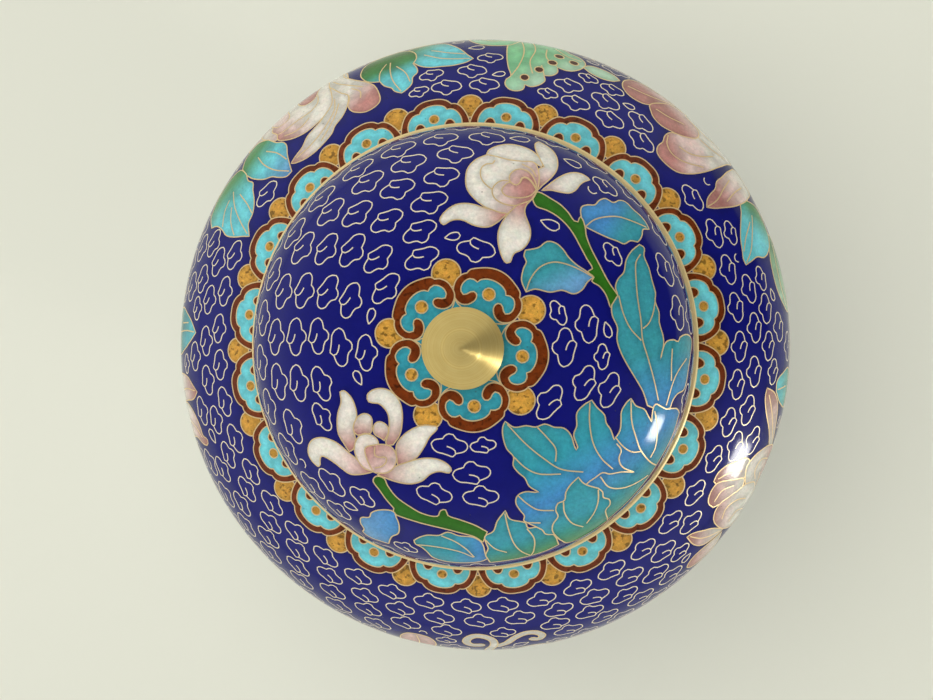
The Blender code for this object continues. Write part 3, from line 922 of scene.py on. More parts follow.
def lay_wire(tree, given, edges):
    """Ends a tree: edges are drawn onto the enamel and get a low roof of wire, proud of the glass."""
    enamel = tree.add("GeometryNodeObjectInfo", inputs={"Object": given.out("Enamel")}).out("Geometry")
    curves = tree.add("GeometryNodeMeshToCurve", inputs={"Mesh": edges})
    here = tree.add("GeometryNodeInputPosition")
    nearest = tree.add("GeometryNodeProximity", {"target_element": "FACES"}, {
        "Target": enamel, "Source Position": here}).out("Position")
    curves = tree.add("GeometryNodeSetPosition", inputs={"Geometry": curves, "Position": nearest})
    face_way = tree.add("GeometryNodeInputNormal")
    outward = tree.add("GeometryNodeSampleNearestSurface", {"data_type": "FLOAT_VECTOR"}, {
        "Mesh": enamel, "Value": face_way})
    curves = tree.add("GeometryNodeSetCurveNormal", {"mode": "FREE"}, {"Curve": curves, "Normal": outward})
    radius = given.out("Width") * 0.5
    roof = tree.add("GeometryNodeCurveArc", {"mode": "RADIUS"}, {
        "Resolution": 3, "Radius": radius, "Start Angle": -math.pi / 2, "Sweep Angle": math.pi})
    squash = tree.add("ShaderNodeCombineXYZ", inputs={
        "X": (given.out("Proud") + given.out("Sunk")) / radius, "Y": 1.0, "Z": 1.0})
    drop = tree.add("ShaderNodeCombineXYZ", inputs={"X": given.out("Sunk") * -1})
    roof = tree.add("GeometryNodeTransform", inputs={"Geometry": roof, "Translation": drop, "Scale": squash})
    wire = tree.add("GeometryNodeCurveToMesh", inputs={"Curve": curves, "Profile Curve": roof})
    wire = tree.add("GeometryNodeSetShadeSmooth", inputs={"Geometry": wire})
    wire = tree.add("GeometryNodeRealizeInstances", inputs={"Geometry": wire})
    wire = tree.add("GeometryNodeSetMaterial", inputs={"Geometry": wire, "Material": given.out("Brass")})
    tree.add("NodeGroupOutput", inputs={"Geometry": wire})


def drawn_wire_tree():
    """Wires along the edges of a mesh."""
    group, given, tree = tree_for_modifier("drawn_wires", WIRE_SOCKETS)
    lay_wire(tree, given, given.out("Geometry"))
    return group


def cloud_wire_tree():
    """Wires bent to little shapes, one on each point of a mesh, with the point's own kind, size and way up."""
    shapes = ("Cloud", "Teardrop", "Arc")
    group, given, tree = tree_for_modifier("cloud_wires", {**{s: "Object" for s in shapes}, **WIRE_SOCKETS})
    joined = tree.add("GeometryNodeJoinGeometry")
    # Join lists its links last first
    for shape in reversed(shapes):
        wire = tree.add("GeometryNodeObjectInfo", inputs={"Object": given.out(shape)}).out("Geometry")
        single = tree.add("GeometryNodeGeometryToInstance", inputs={"Geometry": wire})
        tree.tree.links.new(single.socket, joined.socket.node.inputs[0])

    def stored(name, kind):
        return tree.add("GeometryNodeInputNamedAttribute", {"data_type": kind}, {"Name": name})

    turned = tree.add("FunctionNodeAxesToRotation", {"primary_axis": "Z", "secondary_axis": "Y"}, {
        "Primary Axis": stored("outward", "FLOAT_VECTOR"), "Secondary Axis": stored("way_up", "FLOAT_VECTOR")})
    laid = tree.add("GeometryNodeInstanceOnPoints", inputs={
        "Points": given.out("Geometry"), "Instance": joined, "Pick Instance": True,
        "Instance Index": stored("kind", "INT"), "Rotation": turned, "Scale": stored("size", "FLOAT")})
    lay_wire(tree, given, tree.add("GeometryNodeRealizeInstances", inputs={"Geometry": laid}))
    return group


def made(source, group, name, values):
    """The source's geometry, through a tree, as a plain mesh in a piece of its own. The source goes."""
    modifier = source.modifiers.new("Shape", "NODES")
    modifier.node_group = group
    for item in group.interface.items_tree:
        if item.in_out == "INPUT" and item.name in values:
            modifier[item.identifier] = values[item.name]
    bpy.context.view_layer.update()
    mesh = bpy.data.meshes.new_from_object(source.evaluated_get(bpy.context.evaluated_depsgraph_get()))
    mesh.name = name
    source.modifiers.clear()
    bpy.data.objects.remove(source)
    return placed(name, mesh)


DRAWN_WIRES = drawn_wire_tree()
CLOUD_WIRES = cloud_wire_tree()


def wire_values(enamel, material):
    return {"Enamel": enamel, "Width": WIRE_WIDTH, "Proud": WIRE_PROUD, "Sunk": WIRE_SUNK, "Brass": material}


CLOUD_STEP = 0.62
CLOUD_SIZE = (3.95, 2.5)
SMALL_SIZE = (2.2, 1.3)


def bent_wire(name, points):
    """A wire bent to shape, drawn flat in millimetres."""
    line = drawn(points, False, CLOUD_STEP) * MM
    mesh = bpy.data.meshes.new(name)
    mesh.from_pydata([(x, y, 0) for x, y in line], [(i, i + 1) for i in range(len(line) - 1)], [])
    return placed(name, mesh)


SHAPES = {
    "Cloud": bent_wire("cloud_shape", [
        (-0.5, -0.25), (0.5, -0.5), (1.35, -1.05), (1.5, -1.75), (0.95, -2.35), (0, -2.15), (-1.25, -1.85),
        (-2.5, -1.65), (-3.5, -0.85), (-3.85, 0), (-3.2, 0.9), (-2.2, 1.2), (-1.5, 1.35), (-1.1, 2), (-0.25, 2.5),
        (0.65, 2.4), (1.3, 1.65), (2.2, 1.3), (3.2, 1.1), (3.9, 0.25), (3.65, -0.7), (2.8, -1.25), (1.6, -1.6)]),
    "Teardrop": bent_wire("teardrop_shape", [
        (2.1, 0.35, 1), (0.8, 0.85), (-0.6, 1), (-1.7, 0.55), (-2.1, -0.25), (-1.6, -1), (-0.4, -1.1), (0.8, -0.7),
        (2.1, 0.35, 1)]),
    "Arc": bent_wire("arc_shape", [(-1.6, -0.7, 1), (-1, 0.35), (0.1, 0.6), (1.2, 0.1), (1.6, -0.7, 1)]),
}


FREE_CELL = 0.0003
SMALL_PITCH = 2.6
JITTER = 0.0002

# The passes of the strewing: which shape, its half sizes, its scale, how close its rows are, and how much
# room it needs, the clouds first
CLOUD_PASSES = (
    (0, CLOUD_SIZE, 1.0, 1.0, 1.0),
    (0, CLOUD_SIZE, 0.84, 0.5, 1.05),
    (0, CLOUD_SIZE, 0.7, 0.5, 1.08),
    (1, SMALL_SIZE, 1.0, 0.25, 1.3),
    (1, SMALL_SIZE, 0.8, 0.25, 1.35),
    (2, SMALL_SIZE, 0.7, 0.25, 1.35),
)
LEFT_OUT = (0, 0.5, 0.85)


def scatter_clouds(skin, laid, first, last, row_gap, pitch, scale, seed):
    """Where the small wires lie: clouds row by row where the ground is free, small shapes in the rest."""
    rng = random.Random(seed)
    rows, columns = int(skin.length / FREE_CELL) + 1, round(2 * math.pi * skin.r.max() / FREE_CELL)
    row_s, column_angle = np.arange(rows) * FREE_CELL, np.arange(columns) * 2 * math.pi / columns
    downs, turns = np.meshgrid(row_s, column_angle, indexing="ij")
    flat = skin.flat(downs.ravel(), turns.ravel())
    taken = np.zeros(rows * columns, bool)
    for item in laid:
        if item["edge"] is not None:
            taken |= inside(flat, item["edge"])
    taken = taken.reshape(rows, columns)

    def cells_at(down, angle):
        i = np.clip(np.round(down / FREE_CELL).astype(int), 0, rows - 1)
        return i, np.round(angle / (2 * math.pi) * columns).astype(int) % columns

    def oval(s, angle, half, rings, count=16):
        """Cells of ovals round places, from the rim inwards."""
        around = np.arange(count) * 2 * math.pi / count
        share = np.repeat(rings, count)
        around = np.tile(around, len(rings))
        down = np.clip(s - half[1] * MM * share * np.sin(around), 0, skin.length)
        return cells_at(down, angle + half[0] * MM * share * np.cos(around) / skin.radius(s))

    lines = [line for item in laid for line in (item["edge"], *item["lines"]) if line is not None]
    for line in lines:
        i, j = cells_at(*skin.unflat(line))
        for i_step in (-1, 0, 1):
            for j_step in (-1, 0, 1):
                taken[np.clip(i + i_step, 0, rows - 1), (j + j_step) % columns] = True

    found = []
    for kind, size, share, step, spare in CLOUD_PASSES:
        share *= scale
        half = (size[0] * share, size[1] * share)
        least = pitch * share / scale if kind == 0 else SMALL_PITCH * half[0] * MM
        for row, s in enumerate(np.arange(first, last, row_gap * step)):
            radius = float(skin.radius(s))
            count = max(5, round(2 * math.pi * radius / least))
            fine = np.arange(count * 12) * 2 * math.pi / (count * 12) + (row % 2) * math.pi / count
            fits = ~taken[oval(s, fine[:, None], half, (spare, 0.7 * spare, 0.35 * spare))].any(1)
            # The last angle that was taken, and the first in this row, which the row's end has to clear too
            latest, opening = -10.0, 10.0
            for angle in fine[fits]:
                if min(angle - latest, opening + 2 * math.pi - angle) * radius < least * 0.98:
                    continue
                latest, opening = angle, min(angle, opening)
                if rng.random() < LEFT_OUT[kind]:
                    continue
                taken[oval(s, angle, half, np.arange(1, 0, -0.05), 96)] = True
                found.append((s + rng.uniform(-JITTER, JITTER), angle + rng.uniform(-JITTER, JITTER) / radius,
                              kind, share * rng.uniform(0.96, 1.03), rng.uniform(-0.12, 0.12)))
    return found


def cloud_points(name, skin, found):
    """Loose points that say where each small wire goes, what it is, how large and which way up."""
    s, angle = np.array([f[0] for f in found]), np.array([f[1] for f in found])
    mesh = bpy.data.meshes.new(name)
    mesh.from_pydata(skin.at(s, angle).tolist(), [], [])
    tilt = np.array([f[4] for f in found])
    up = skin.at(s - MM * np.cos(tilt), angle + MM * np.sin(tilt) / skin.radius(s)) - skin.at(s, angle)
    for attribute, kind, values, field in (
        ("kind", "INT", np.array([f[2] for f in found]), "value"),
        ("size", "FLOAT", np.array([f[3] for f in found]), "value"),
        ("outward", "FLOAT_VECTOR", skin.normals(s, angle).ravel(), "vector"),
        ("way_up", "FLOAT_VECTOR", (up / MM).ravel(), "vector"),
    ):
        mesh.attributes.new(attribute, kind, "POINT").data.foreach_set(field, values)
    return placed(name, mesh)


INSIDE_STEP = 12
NECK_DEPTH = 0.0125
body_floor = BODY_LOW.z + BASE_WALL
body_inside = [
    (0, body_floor, COUNTER), (BASE_RADIUS - BODY_WALL, body_floor, COUNTER),
    *[(float(r) - BODY_WALL, float(z), COUNTER)
      for r, z in zip(body_skin.r[::-INSIDE_STEP], body_skin.z[::-INSIDE_STEP])
      if z > body_floor + BASE_WALL and (r - BODY_WALL > NECK_RADIUS - BODY_WALL or z < BELLY_HEIGHT)
      and z < BODY_HIGH.z - NECK_DEPTH],
    (NECK_RADIUS - BODY_WALL, float(body_skin.z[0]) - BODY_WALL, COUNTER),
    (NECK_RADIUS - BODY_WALL, BODY_HIGH.z, COUNTER), (NECK_RADIUS, BODY_HIGH.z, COUNTER),
]
jar_enamel, jar_lines, jar_laid = enamel_piece(
    "jar_enamel", body_skin, body_drawing(), BODY_SPACING, body_inside, [(0, BODY_LOW.z, COUNTER)])
jar_enamel.data.materials.append(ENAMEL)
jar_wires = made(jar_lines, DRAWN_WIRES, "jar_wires", wire_values(jar_enamel, DRAWN_BRASS))
jar_found = scatter_clouds(
    body_skin, jar_laid, first=0.0173, last=0.146, row_gap=0.0043, pitch=0.0085, scale=0.88, seed=3)
jar_clouds = made(
    cloud_points("jar_cloud_points", body_skin, jar_found), CLOUD_WIRES, "jar_clouds",
    {**SHAPES, **wire_values(jar_enamel, CLOUD_BRASS)})
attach(jar_enamel, "root")
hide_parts("jar_body")
for wires in (jar_wires, jar_clouds):
    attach(wires, "root")


# The foot ring and the lip of the mouth
# Two brass bands soldered to the copper: the jar stands on one, and the other binds the edge of the
# mouth, under the lid. Both were turned after soldering, and gilded.
def softened(profile, radius):
    """A closed profile with its corners rounded."""
    result = []
    for i, here in enumerate(profile):
        here = np.array(here)
        before, after = np.array(profile[i - 1]), np.array(profile[(i + 1) % len(profile)])
        ways = [(other - here) / np.linalg.norm(other - here) for other in (before, after)]
        reach = min(radius, 0.45 * np.linalg.norm(before - here), 0.45 * np.linalg.norm(after - here))
        start, end = here + ways[0] * reach, here + ways[1] * reach
        for t in (0, 0.25, 0.5, 0.75, 1):
            result.append(tuple((1 - t) ** 2 * start + 2 * t * (1 - t) * here + t * t * end))
    return result


def turned_mesh(name, profile, closed, sharp):
    """A profile turned round Z. It runs down the outer side. Edges of more than sharp degrees stay sharp."""
    rows = turned_rows(profile)
    starts = np.cumsum([0] + [len(row) for row in rows])
    numbers = [np.arange(start, start + len(row)) for start, row in zip(starts, rows)]
    faces = []
    for first, second in zip(numbers, numbers[1:] + numbers[:closed]):
        faces += [tuple(int(v) for v in f) for f in strip_faces(first, second)]
    mesh = bpy.data.meshes.new(name)
    mesh.from_pydata(np.vstack(rows).tolist(), [], faces)
    mesh.shade_smooth()
    mesh.set_sharp_from_angle(angle=math.radians(sharp))
    return mesh


def brass_band(name, node, wall, profile_of, soft):
    """A band in a node's place. profile_of gets its inner and outer radius, its bottom and its top."""
    low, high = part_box(node)
    profile = softened(profile_of(high.x - wall, high.x, low.z, high.z), soft)
    band = placed(name, turned_mesh(name, profile, True, 50))
    band.data.materials.append(RING_BRASS)
    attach(band, "root")
    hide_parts(node)


FOOT_FLARE = 0.0012
FOOT_WIDTH = 0.0032
LIP_WALL = 0.0027


def foot_section(inner, outer, bottom, top):
    height = top - bottom
    return [(inner, top), (outer - FOOT_FLARE, top), (outer - FOOT_FLARE * 0.75, bottom + height / 2),
            (outer, bottom + height / 5), (outer, bottom), (inner, bottom)]


def band_section(inner, outer, bottom, top):
    return [(inner, top), (outer, top), (outer, bottom), (inner, bottom)]


brass_band("foot_band", "foot_ring", FOOT_WIDTH + FOOT_FLARE, foot_section, 0.0003)
brass_band("mouth_band", "mouth_lip", LIP_WALL, band_section, 0.0006)


# The lid
# A dome of copper enamelled like the jar. It rests on the shoulder, over the neck, and lifts off.
LID_LOW, LID_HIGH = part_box("lid")
LID_RADIUS = LID_HIGH.x - WIRE_PROUD
LID_RISE = LID_HIGH.z - LID_LOW.z - WIRE_PROUD
LID_POWER = 2.5
LID_WALL = 0.0022
LID_SPACING = 0.00135
DRAWING_REACH = 46
DRAWING_EXCESS = 0.02
LID_EDGE = 0.0005
LID_INSIDE_STEP = 16
KNOB_HEAD_TURNS = (-8, 65, 136, 207, 280)
KNOB_LOBE_TURNS = (29.6, 103.5, 168.9, 241.8, 317.4)


def lid_outline(radius=LID_RADIUS, rise=LID_RISE):
    """Radii and heights of the dome, from its middle down to its edge."""
    angles = np.linspace(0, math.pi / 2, OUTLINE_STEPS)
    heights = LID_LOW.z + rise * np.clip(np.cos(angles), 0, 1) ** (2 / LID_POWER)
    return radius * np.sin(angles) ** (2 / LID_POWER), heights


lid_skin = Skin(*lid_outline(), starts_at_pole=True)


def on_lid(cells, **how):
    """Cells of the lid's drawing. x runs to the right and y up the photograph, from the knob."""
    def place(points):
        reach = np.hypot(points[:, 0], points[:, 1])
        s = reach * (1 - DRAWING_EXCESS * (reach / DRAWING_REACH) ** 2) * MM
        return np.minimum(s, lid_skin.length - LID_EDGE), np.arctan2(points[:, 1], points[:, 0])

    return [(item, place) for item in moved(cells, **how)]


HEAD_HALF = [(0, 17.3), (2, 17), (4, 16.1), (5.6, 15), (5.9, 14.1, 1), (6.7, 13.4), (7.3, 11.8),
             (7.1, 10.2), (6.5, 8.9), (5.3, 8.1), (4.2, 7.9), (3, 8.4), (2.2, 9.4), (2, 10.3), (2.4, 11.1),
             (3, 11.25), (3.6, 10.9), (4.1, 10.2), (4.7, 9.8), (5.4, 10.2), (5.8, 11.2), (5.6, 12.4),
             (4.9, 13.3), (4.1, 13.5), (3.2, 13.3, 1), (2.8, 14), (1.6, 14.7), (0, 14.95)]
HEAD_FIELD = [(0, 17.3), (2, 17), (4, 16.1), (5.6, 15), (5.9, 14.1, 1), (6.7, 13.4), (7.3, 11.8),
              (7.1, 10.2), (6.5, 8.9), (4.8, 7.6), (0, 6.4)]
RUYI_HEAD = [
    cell(both_sides(HEAD_FIELD), ((0, 16), (0, 7), SEA_GREEN, SEA_GREEN)),
    cell(both_sides(HEAD_HALF), RED_BROWN),
    disc(0, 12, 1.3, OCHRE, 6),
]

BIG_LEAF = [
    cell([(8.4, -14.9, 1), (10.2, -16.1), (12.7, -15.8), (14.6, -16.1), (16.5, -15.5), (18.5, -16.2),
          (20.4, -16.4), (21.9, -17.9), (22.7, -20.2), (23.1, -21.1, 1), (23.4, -20.6), (22.5, -17.9),
          (23.1, -16), (23.1, -13.3), (24.6, -11.6), (26.2, -10.7, 1), (27.3, -12.2), (29, -13.9),
          (29.4, -15.6), (30.4, -17), (31.3, -19.3, 1), (32.5, -17.5), (32.7, -15.2), (32.7, -13.3),
          (33.8, -11.4), (34.8, -10.6, 1), (36, -12.2), (38.1, -13.1), (39.2, -14.7), (40.2, -16.1, 1),
          (40.2, -14.1), (40.8, -12.2), (42.3, -12.7), (44, -13.5), (46.2, -13.7), (48.1, -14.1),
          (49.6, -15.4, 1), (48.5, -21), (45.5, -27), (41.5, -33), (36.5, -38.5), (30, -43.5), (24, -46.5),
          (21, -43.9, 1), (19.2, -41.6, 1), (17.3, -41.1), (16.5, -39.8), (13.1, -37.5), (12.3, -36.8),
          (12.5, -35.8), (11.5, -34.3), (10.6, -32.5), (11, -30.8), (12.7, -30), (14.6, -30.2),
          (15.4, -30.2, 1), (13.3, -28.7), (12.5, -27), (11, -25.6), (10, -24.1), (10.1, -22.3),
          (8.7, -20.6), (7.9, -17.9), (7.9, -16)],
         ((20, -12), (38, -42), LEAF_TEAL, SEA_GREEN, LEAF_BLUE, LEAF_TEAL, LEAF_GREEN),
         [[(8.8, -15.5), (12.7, -19.7), (16.5, -22.9), (20, -25.2), (24.8, -26.1)],
          [(15, -16.2), (17.3, -18.7), (18.8, -20.8), (18.8, -23.5)],
          [(10.1, -22.3), (12.7, -24.8), (15.4, -26.1), (20, -26.3)],
          [(25.8, -11.2), (25.8, -15.2), (26.7, -19.8), (28.7, -23.3), (31.5, -26)],
          [(34.8, -11), (35.2, -15.6), (36.7, -19.8), (38.1, -22.5), (41.5, -26), (46.2, -29)],
          [(31.5, -18.7), (33.5, -21), (35.8, -22.5), (38.1, -22.7)],
          [(31.9, -20.2), (33.1, -21.8), (32.7, -23.7), (33.8, -25.8), (37.1, -27.7, 1), (33.8, -27),
           (30.8, -27.1), (29.2, -26.6), (27.7, -27.5), (25.6, -29.1), (24.4, -32.2), (24.2, -35.2),
           (25, -39.1), (28.3, -43.1)],
          [(40.8, -13.7), (41.9, -17.5), (42.3, -22.5), (41.3, -24.8)],
          [(28.7, -27.5), (30.8, -30.2), (33.5, -31.2), (36.9, -31.3), (42.3, -30.2)],
          [(11, -30.8), (13.1, -32.9), (15.4, -34.4), (18.8, -34.8)], [(13.1, -37.5), (16, -37.8)]]),
    cell([(23.8, -27.2, 1), (22.1, -28.9), (21.2, -30.6), (21, -32.5), (19.6, -33.1), (19.2, -34.8),
          (19.8, -36.4), (18.8, -38.5), (18.9, -40.6), (21, -43.9, 1), (24, -46.5), (30, -44.5),
          (33.5, -42, 1), (32.7, -40.2), (31.9, -38.7), (31.3, -36.8), (32.1, -35.4), (31.5, -33.7),
          (30, -32.9), (29.6, -31.4), (28.5, -30.3, 1), (25.6, -29.1), (24.6, -28.3)],
         ((23, -28), (27, -45), LEAF_TEAL, SEA_GREEN, LEAF_GREEN),
         [[(20.8, -32.9), (21.2, -35.6), (23.1, -38.7), (26.2, -40.8)],
          [(28.5, -30.6), (28.8, -33.7), (28.3, -36.8), (26.9, -39.8)]]),
]
RIGHT_LEAF = [
    cell([(37.6, 22.5, 1), (35.4, 20.7), (34, 18.6), (33.3, 15.9), (32, 14.5), (31.3, 12.7), (31.7, 10.9),
          (30.5, 9.1), (30.5, 6.8), (31.6, 4.3), (31.5, 1.8), (32.2, -0.5), (33.5, -3), (35.4, -5.9),
          (37.6, -9.3), (38.8, -12.3, 1), (43, -14, 1), (45.4, -13.4, 1), (46, -11.8), (47.4, -10.5),
          (50.4, -9.5), (51.7, -4.8), (52.6, -1.8), (53.5, 1.4), (52.2, 2.7), (49.9, 3), (47.6, 2.3),
          (47, 1.4), (45.4, 1.8), (43.1, 1.1), (41.8, -2.3, 1), (42.6, 0.9), (42.4, 2.7), (41.5, 5.5),
          (41.5, 7.7), (40.6, 10), (40.8, 11.8), (40.1, 14.5), (39.5, 17.3), (38.5, 20), (38.8, 21.8)],
         ((37, 20), (43, -12), LEAF_TEAL, LEAF_TEAL, LEAF_TEAL, LEAF_BLUE),
         [[(37.6, 20.2), (36.3, 18.2), (36.1, 14.5), (36.3, 10.5), (37, 5.5), (37.3, 1.8), (38.5, -1.8),
           (39.9, -5.9), (41.6, -11.4)],
          [(32, 10.9), (32.9, 7.3), (34.5, 4.1), (37, 1.6)],
          [(40.6, 10), (39.9, 7.3), (38.8, 5.2), (37.4, 4.1)],
          [(50.4, -2.5), (47.6, -4.8), (45.8, -7.3), (44, -12.7)],
          [(45.1, -0.2), (44.9, -3.6), (45.1, -7.3)]]),
]
SMALL_LEAF = [
    cell([(8.4, -34.3, 1), (6.7, -36.8), (5.8, -39.5), (4, -40.8), (4.2, -42.9), (4.6, -44.5), (4, -46.8),
          (4.4, -48.3), (5, -50.5, 1), (12, -49.5), (18, -47.8), (21, -46, 1), (20, -43, 1),
          (19.2, -41.6, 1), (17.3, -41.1), (16.7, -40), (15.4, -38.9), (13.3, -38.9), (12.7, -37.5),
          (9.4, -36.4)],
         ((8, -36), (13, -49), LEAF_TEAL, SEA_GREEN, LEAF_GREEN),
         [[(8.3, -35), (9, -38.7), (10.2, -42.9), (11.9, -46), (14.4, -48.7)],
          [(4, -41.8), (6.2, -44.7), (8.8, -46.2)],
          [(13.1, -39.1), (14.8, -42.2), (15, -46.8), (14.6, -48.7)]]),
]
LOW_STEM = [
    cell([(-19.4, -27.5), (-18.6, -27), (-17.1, -27.5), (-16.5, -29), (-14.8, -31.5), (-12.1, -33.6),
          (-9.4, -35.2), (-6.1, -35.8), (-5.3, -34.4), (-4.2, -34.2), (-3.8, -35.5), (-1.3, -36.5),
          (1.8, -37.8), (4.5, -39.6, 1), (3.9, -41.5), (3.5, -42.5, 1), (1.6, -40.9), (-1.7, -39.8),
          (-4.8, -38.9), (-9.4, -37.8), (-13.2, -36.7), (-15, -36.1, 1), (-15.7, -35.3), (-15.5, -34.4, 1),
          (-17.1, -32.3), (-18.4, -30.2), (-19.6, -28.4)],
         STEM_GREEN),
    cell([(-15.7, -35.2), (-18.6, -35.1), (-20.9, -36.1), (-21.7, -37.5), (-23.8, -38), (-24.4, -39.8),
          (-24, -41.7), (-24.8, -43.2), (-23.2, -44.8), (-20.9, -45.2), (-18.6, -45.5, 1), (-17.1, -42.5),
          (-15.3, -41.1), (-14.8, -38.6), (-15.2, -36.7)], ((-24, -40), (-15, -38), LEAF_PALE, LEAF_BLUE)),
    cell([(-11.9, -42.8, 1), (-10.5, -41.7), (-8.6, -40.9), (-6.1, -40.8), (-4, -39.8), (-1.7, -40.7),
          (1.4, -41.1), (3.3, -42.8), (4, -46.8), (4.4, -48.3), (2, -50), (-4, -50.5), (-8, -49),
          (-9.4, -46.3), (-10.5, -44.8), (-11.7, -44)],
         ((-10, -44), (3, -46), LEAF_TEAL, SEA_GREEN, LEAF_BLUE),
         [[(-11.5, -44.2), (-8.2, -44.2), (-4.4, -44.8), (-1.3, -45.9), (1.2, -47.7)],
          [(-5.5, -40.9), (-2.5, -42.5), (-0.2, -44.8), (1.4, -47.6)]]),
]
LOW_FLOWER = [
    cell([(-32.8, -26.1), (-34.6, -24.4), (-34.9, -22.5), (-33.8, -20.3), (-31.7, -19.3), (-29.4, -19.4),
          (-27.1, -20.3), (-24.8, -22.1, 1), (-21, -25), (-19.6, -26.2, 1), (-22.5, -26.9), (-24.8, -27),
          (-26.7, -25.9), (-28.2, -24.8), (-30.2, -23.7), (-31.5, -23.5), (-32, -24.6), (-32.1, -25.5)],
         ((-34, -23), (-20, -26), WHITE, WHITE, BLUSH, ROSE)),
    cell([(-25.2, -8.9), (-26.1, -9.2, 1), (-25.9, -11.3), (-26.7, -13.6), (-27, -15.9), (-26.8, -18.2),
          (-25.5, -20.5), (-24.6, -21.9, 1), (-23.6, -21.3), (-23, -19.4), (-23.4, -16.7, 1), (-23, -15.5),
          (-22.5, -14), (-22.8, -12.1), (-23.6, -10.3)], ((-25, -10), (-24, -21), WHITE, WHITE, ROSE)),
    cell([(-23.4, -16.9), (-22.5, -14.6), (-20.9, -13.6), (-19.4, -14.2), (-19.2, -15.9), (-19.6, -17.7),
          (-20.9, -17.8), (-22.5, -18.2)], ((-21, -14), (-22, -18), WHITE, ROSE)),
    cell([(-19, -17.1), (-18.6, -15.7), (-17.5, -15.2), (-16.1, -15.9), (-15.7, -17.3), (-16.7, -19.2, 1),
          (-17.5, -18.6), (-18.6, -18)], ((-17, -15), (-17, -19), WHITE, ROSE)),
    cell([(-19.8, -11.1), (-20.1, -9.8), (-19, -8.7), (-17.1, -8.3), (-15.2, -8.8), (-13.6, -10.3),
          (-12.8, -12.5), (-12.8, -15.5), (-13.4, -18), (-14.8, -20, 1), (-16.3, -20), (-15.7, -17.5),
          (-15.5, -15.2), (-15.9, -13.2), (-17.5, -11.5), (-19, -11.3)],
         ((-18, -9), (-15, -20), WHITE, WHITE, ROSE)),
    cell([(-5.7, -16, 1), (-5.5, -16.5), (-7.1, -18.2), (-8.4, -20.5), (-10.2, -22.8), (-14, -24.4, 1),
          (-14.2, -20.5), (-13.2, -18.6), (-10.9, -16.7), (-8.2, -15.8)],
         ((-6, -16), (-14, -24), WHITE, WHITE, ROSE)),
    cell([(-2.7, -25.3), (-3.2, -24.2), (-5.2, -23), (-7.8, -22.7), (-10.5, -23.2), (-14, -24.4, 1),
          (-18.6, -26.7, 1), (-16.7, -27.4), (-14, -28.2), (-11.3, -28.4), (-9, -27.7), (-7.1, -26.1),
          (-5.2, -25.5), (-3.2, -25.8)],
         ((-3, -25), (-18, -26.5), WHITE, WHITE, ROSE)),
    cell([(-23.2, -22.5), (-23.2, -20.2), (-22.1, -18.4), (-20.2, -17.9), (-18.6, -18.6), (-18, -20),
          (-19.4, -20.3), (-20.7, -20.9), (-20.9, -22.5), (-20.3, -24.4), (-19.4, -26.1, 1),
          (-21.7, -25.2)],
         ((-23, -19), (-20, -25), WHITE, BLUSH)),
    cell([(-19.4, -26.1), (-20.9, -22.5), (-20.9, -20.9), (-19.4, -20.3), (-17.1, -20), (-15.2, -20.5),
          (-14.2, -22.5), (-14.8, -24.8), (-16.3, -26.1), (-18.2, -26.3)],
         ((-20, -20), (-16, -25), ROSE, BLUSH),
         [[(-18.8, -20.6), (-18.8, -22.5), (-17.5, -22.8), (-16.5, -22.8), (-16.5, -23.8), (-17.5, -24.8),
           (-19, -25.2)]]),
]


def lid_drawing():
    """Everything that is drawn on the lid, from what lies lowest to what lies on top."""
    drawing = on_lid([disc(0, 0, 11.2, SEA_GREEN)])
    for turn in KNOB_LOBE_TURNS:
        drawing += on_lid([disc(0, 15.6, 3, OCHRE)], turn=turn - 90)
    for turn in KNOB_HEAD_TURNS:
        drawing += on_lid(RUYI_HEAD, turn=turn - 90)
    for cells in (RIGHT_LEAF, LEAF_BACK, LEAF_OUT, STEM, PEONY, LOW_STEM, LOW_FLOWER, SMALL_LEAF, BIG_LEAF):
        drawing += on_lid(cells)
    return drawing


lid_inside = [
    (float(r), float(z), COUNTER)
    for r, z in zip(*lid_outline(LID_RADIUS - LID_WALL, LID_RISE - LID_WALL))
    if r > 0][::-LID_INSIDE_STEP]
lid_enamel, lid_lines, lid_laid = enamel_piece(
    "lid_enamel", lid_skin, lid_drawing(), LID_SPACING, [],
    [(LID_RADIUS - LID_WALL, LID_LOW.z, COUNTER), *lid_inside[1:], (0, LID_LOW.z + LID_RISE - LID_WALL, COUNTER)])
lid_enamel.data.materials.append(ENAMEL)
lid_wires = made(lid_lines, DRAWN_WIRES, "lid_wires", wire_values(lid_enamel, DRAWN_BRASS))
lid_found = scatter_clouds(
    lid_skin, lid_laid, first=0.0203, last=lid_skin.length - 0.003, row_gap=0.0053, pitch=0.0097,
    scale=0.99, seed=5)
lid_clouds = made(
    cloud_points("lid_cloud_points", lid_skin, lid_found), CLOUD_WIRES, "lid_clouds",
    {**SHAPES, **wire_values(lid_enamel, CLOUD_BRASS)})
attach(lid_enamel, "root")
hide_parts("lid")
for wires in (lid_wires, lid_clouds):
    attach(wires, "root")
for shape in SHAPES.values():
    bpy.data.objects.remove(shape)


# The lid's ring
# A plain brass band soldered to the lid's edge, which is what rests on the jar's shoulder.
RING_WALL = 0.0034
brass_band("lid_band", "lid_ring", RING_WALL, band_section, 0.0009)


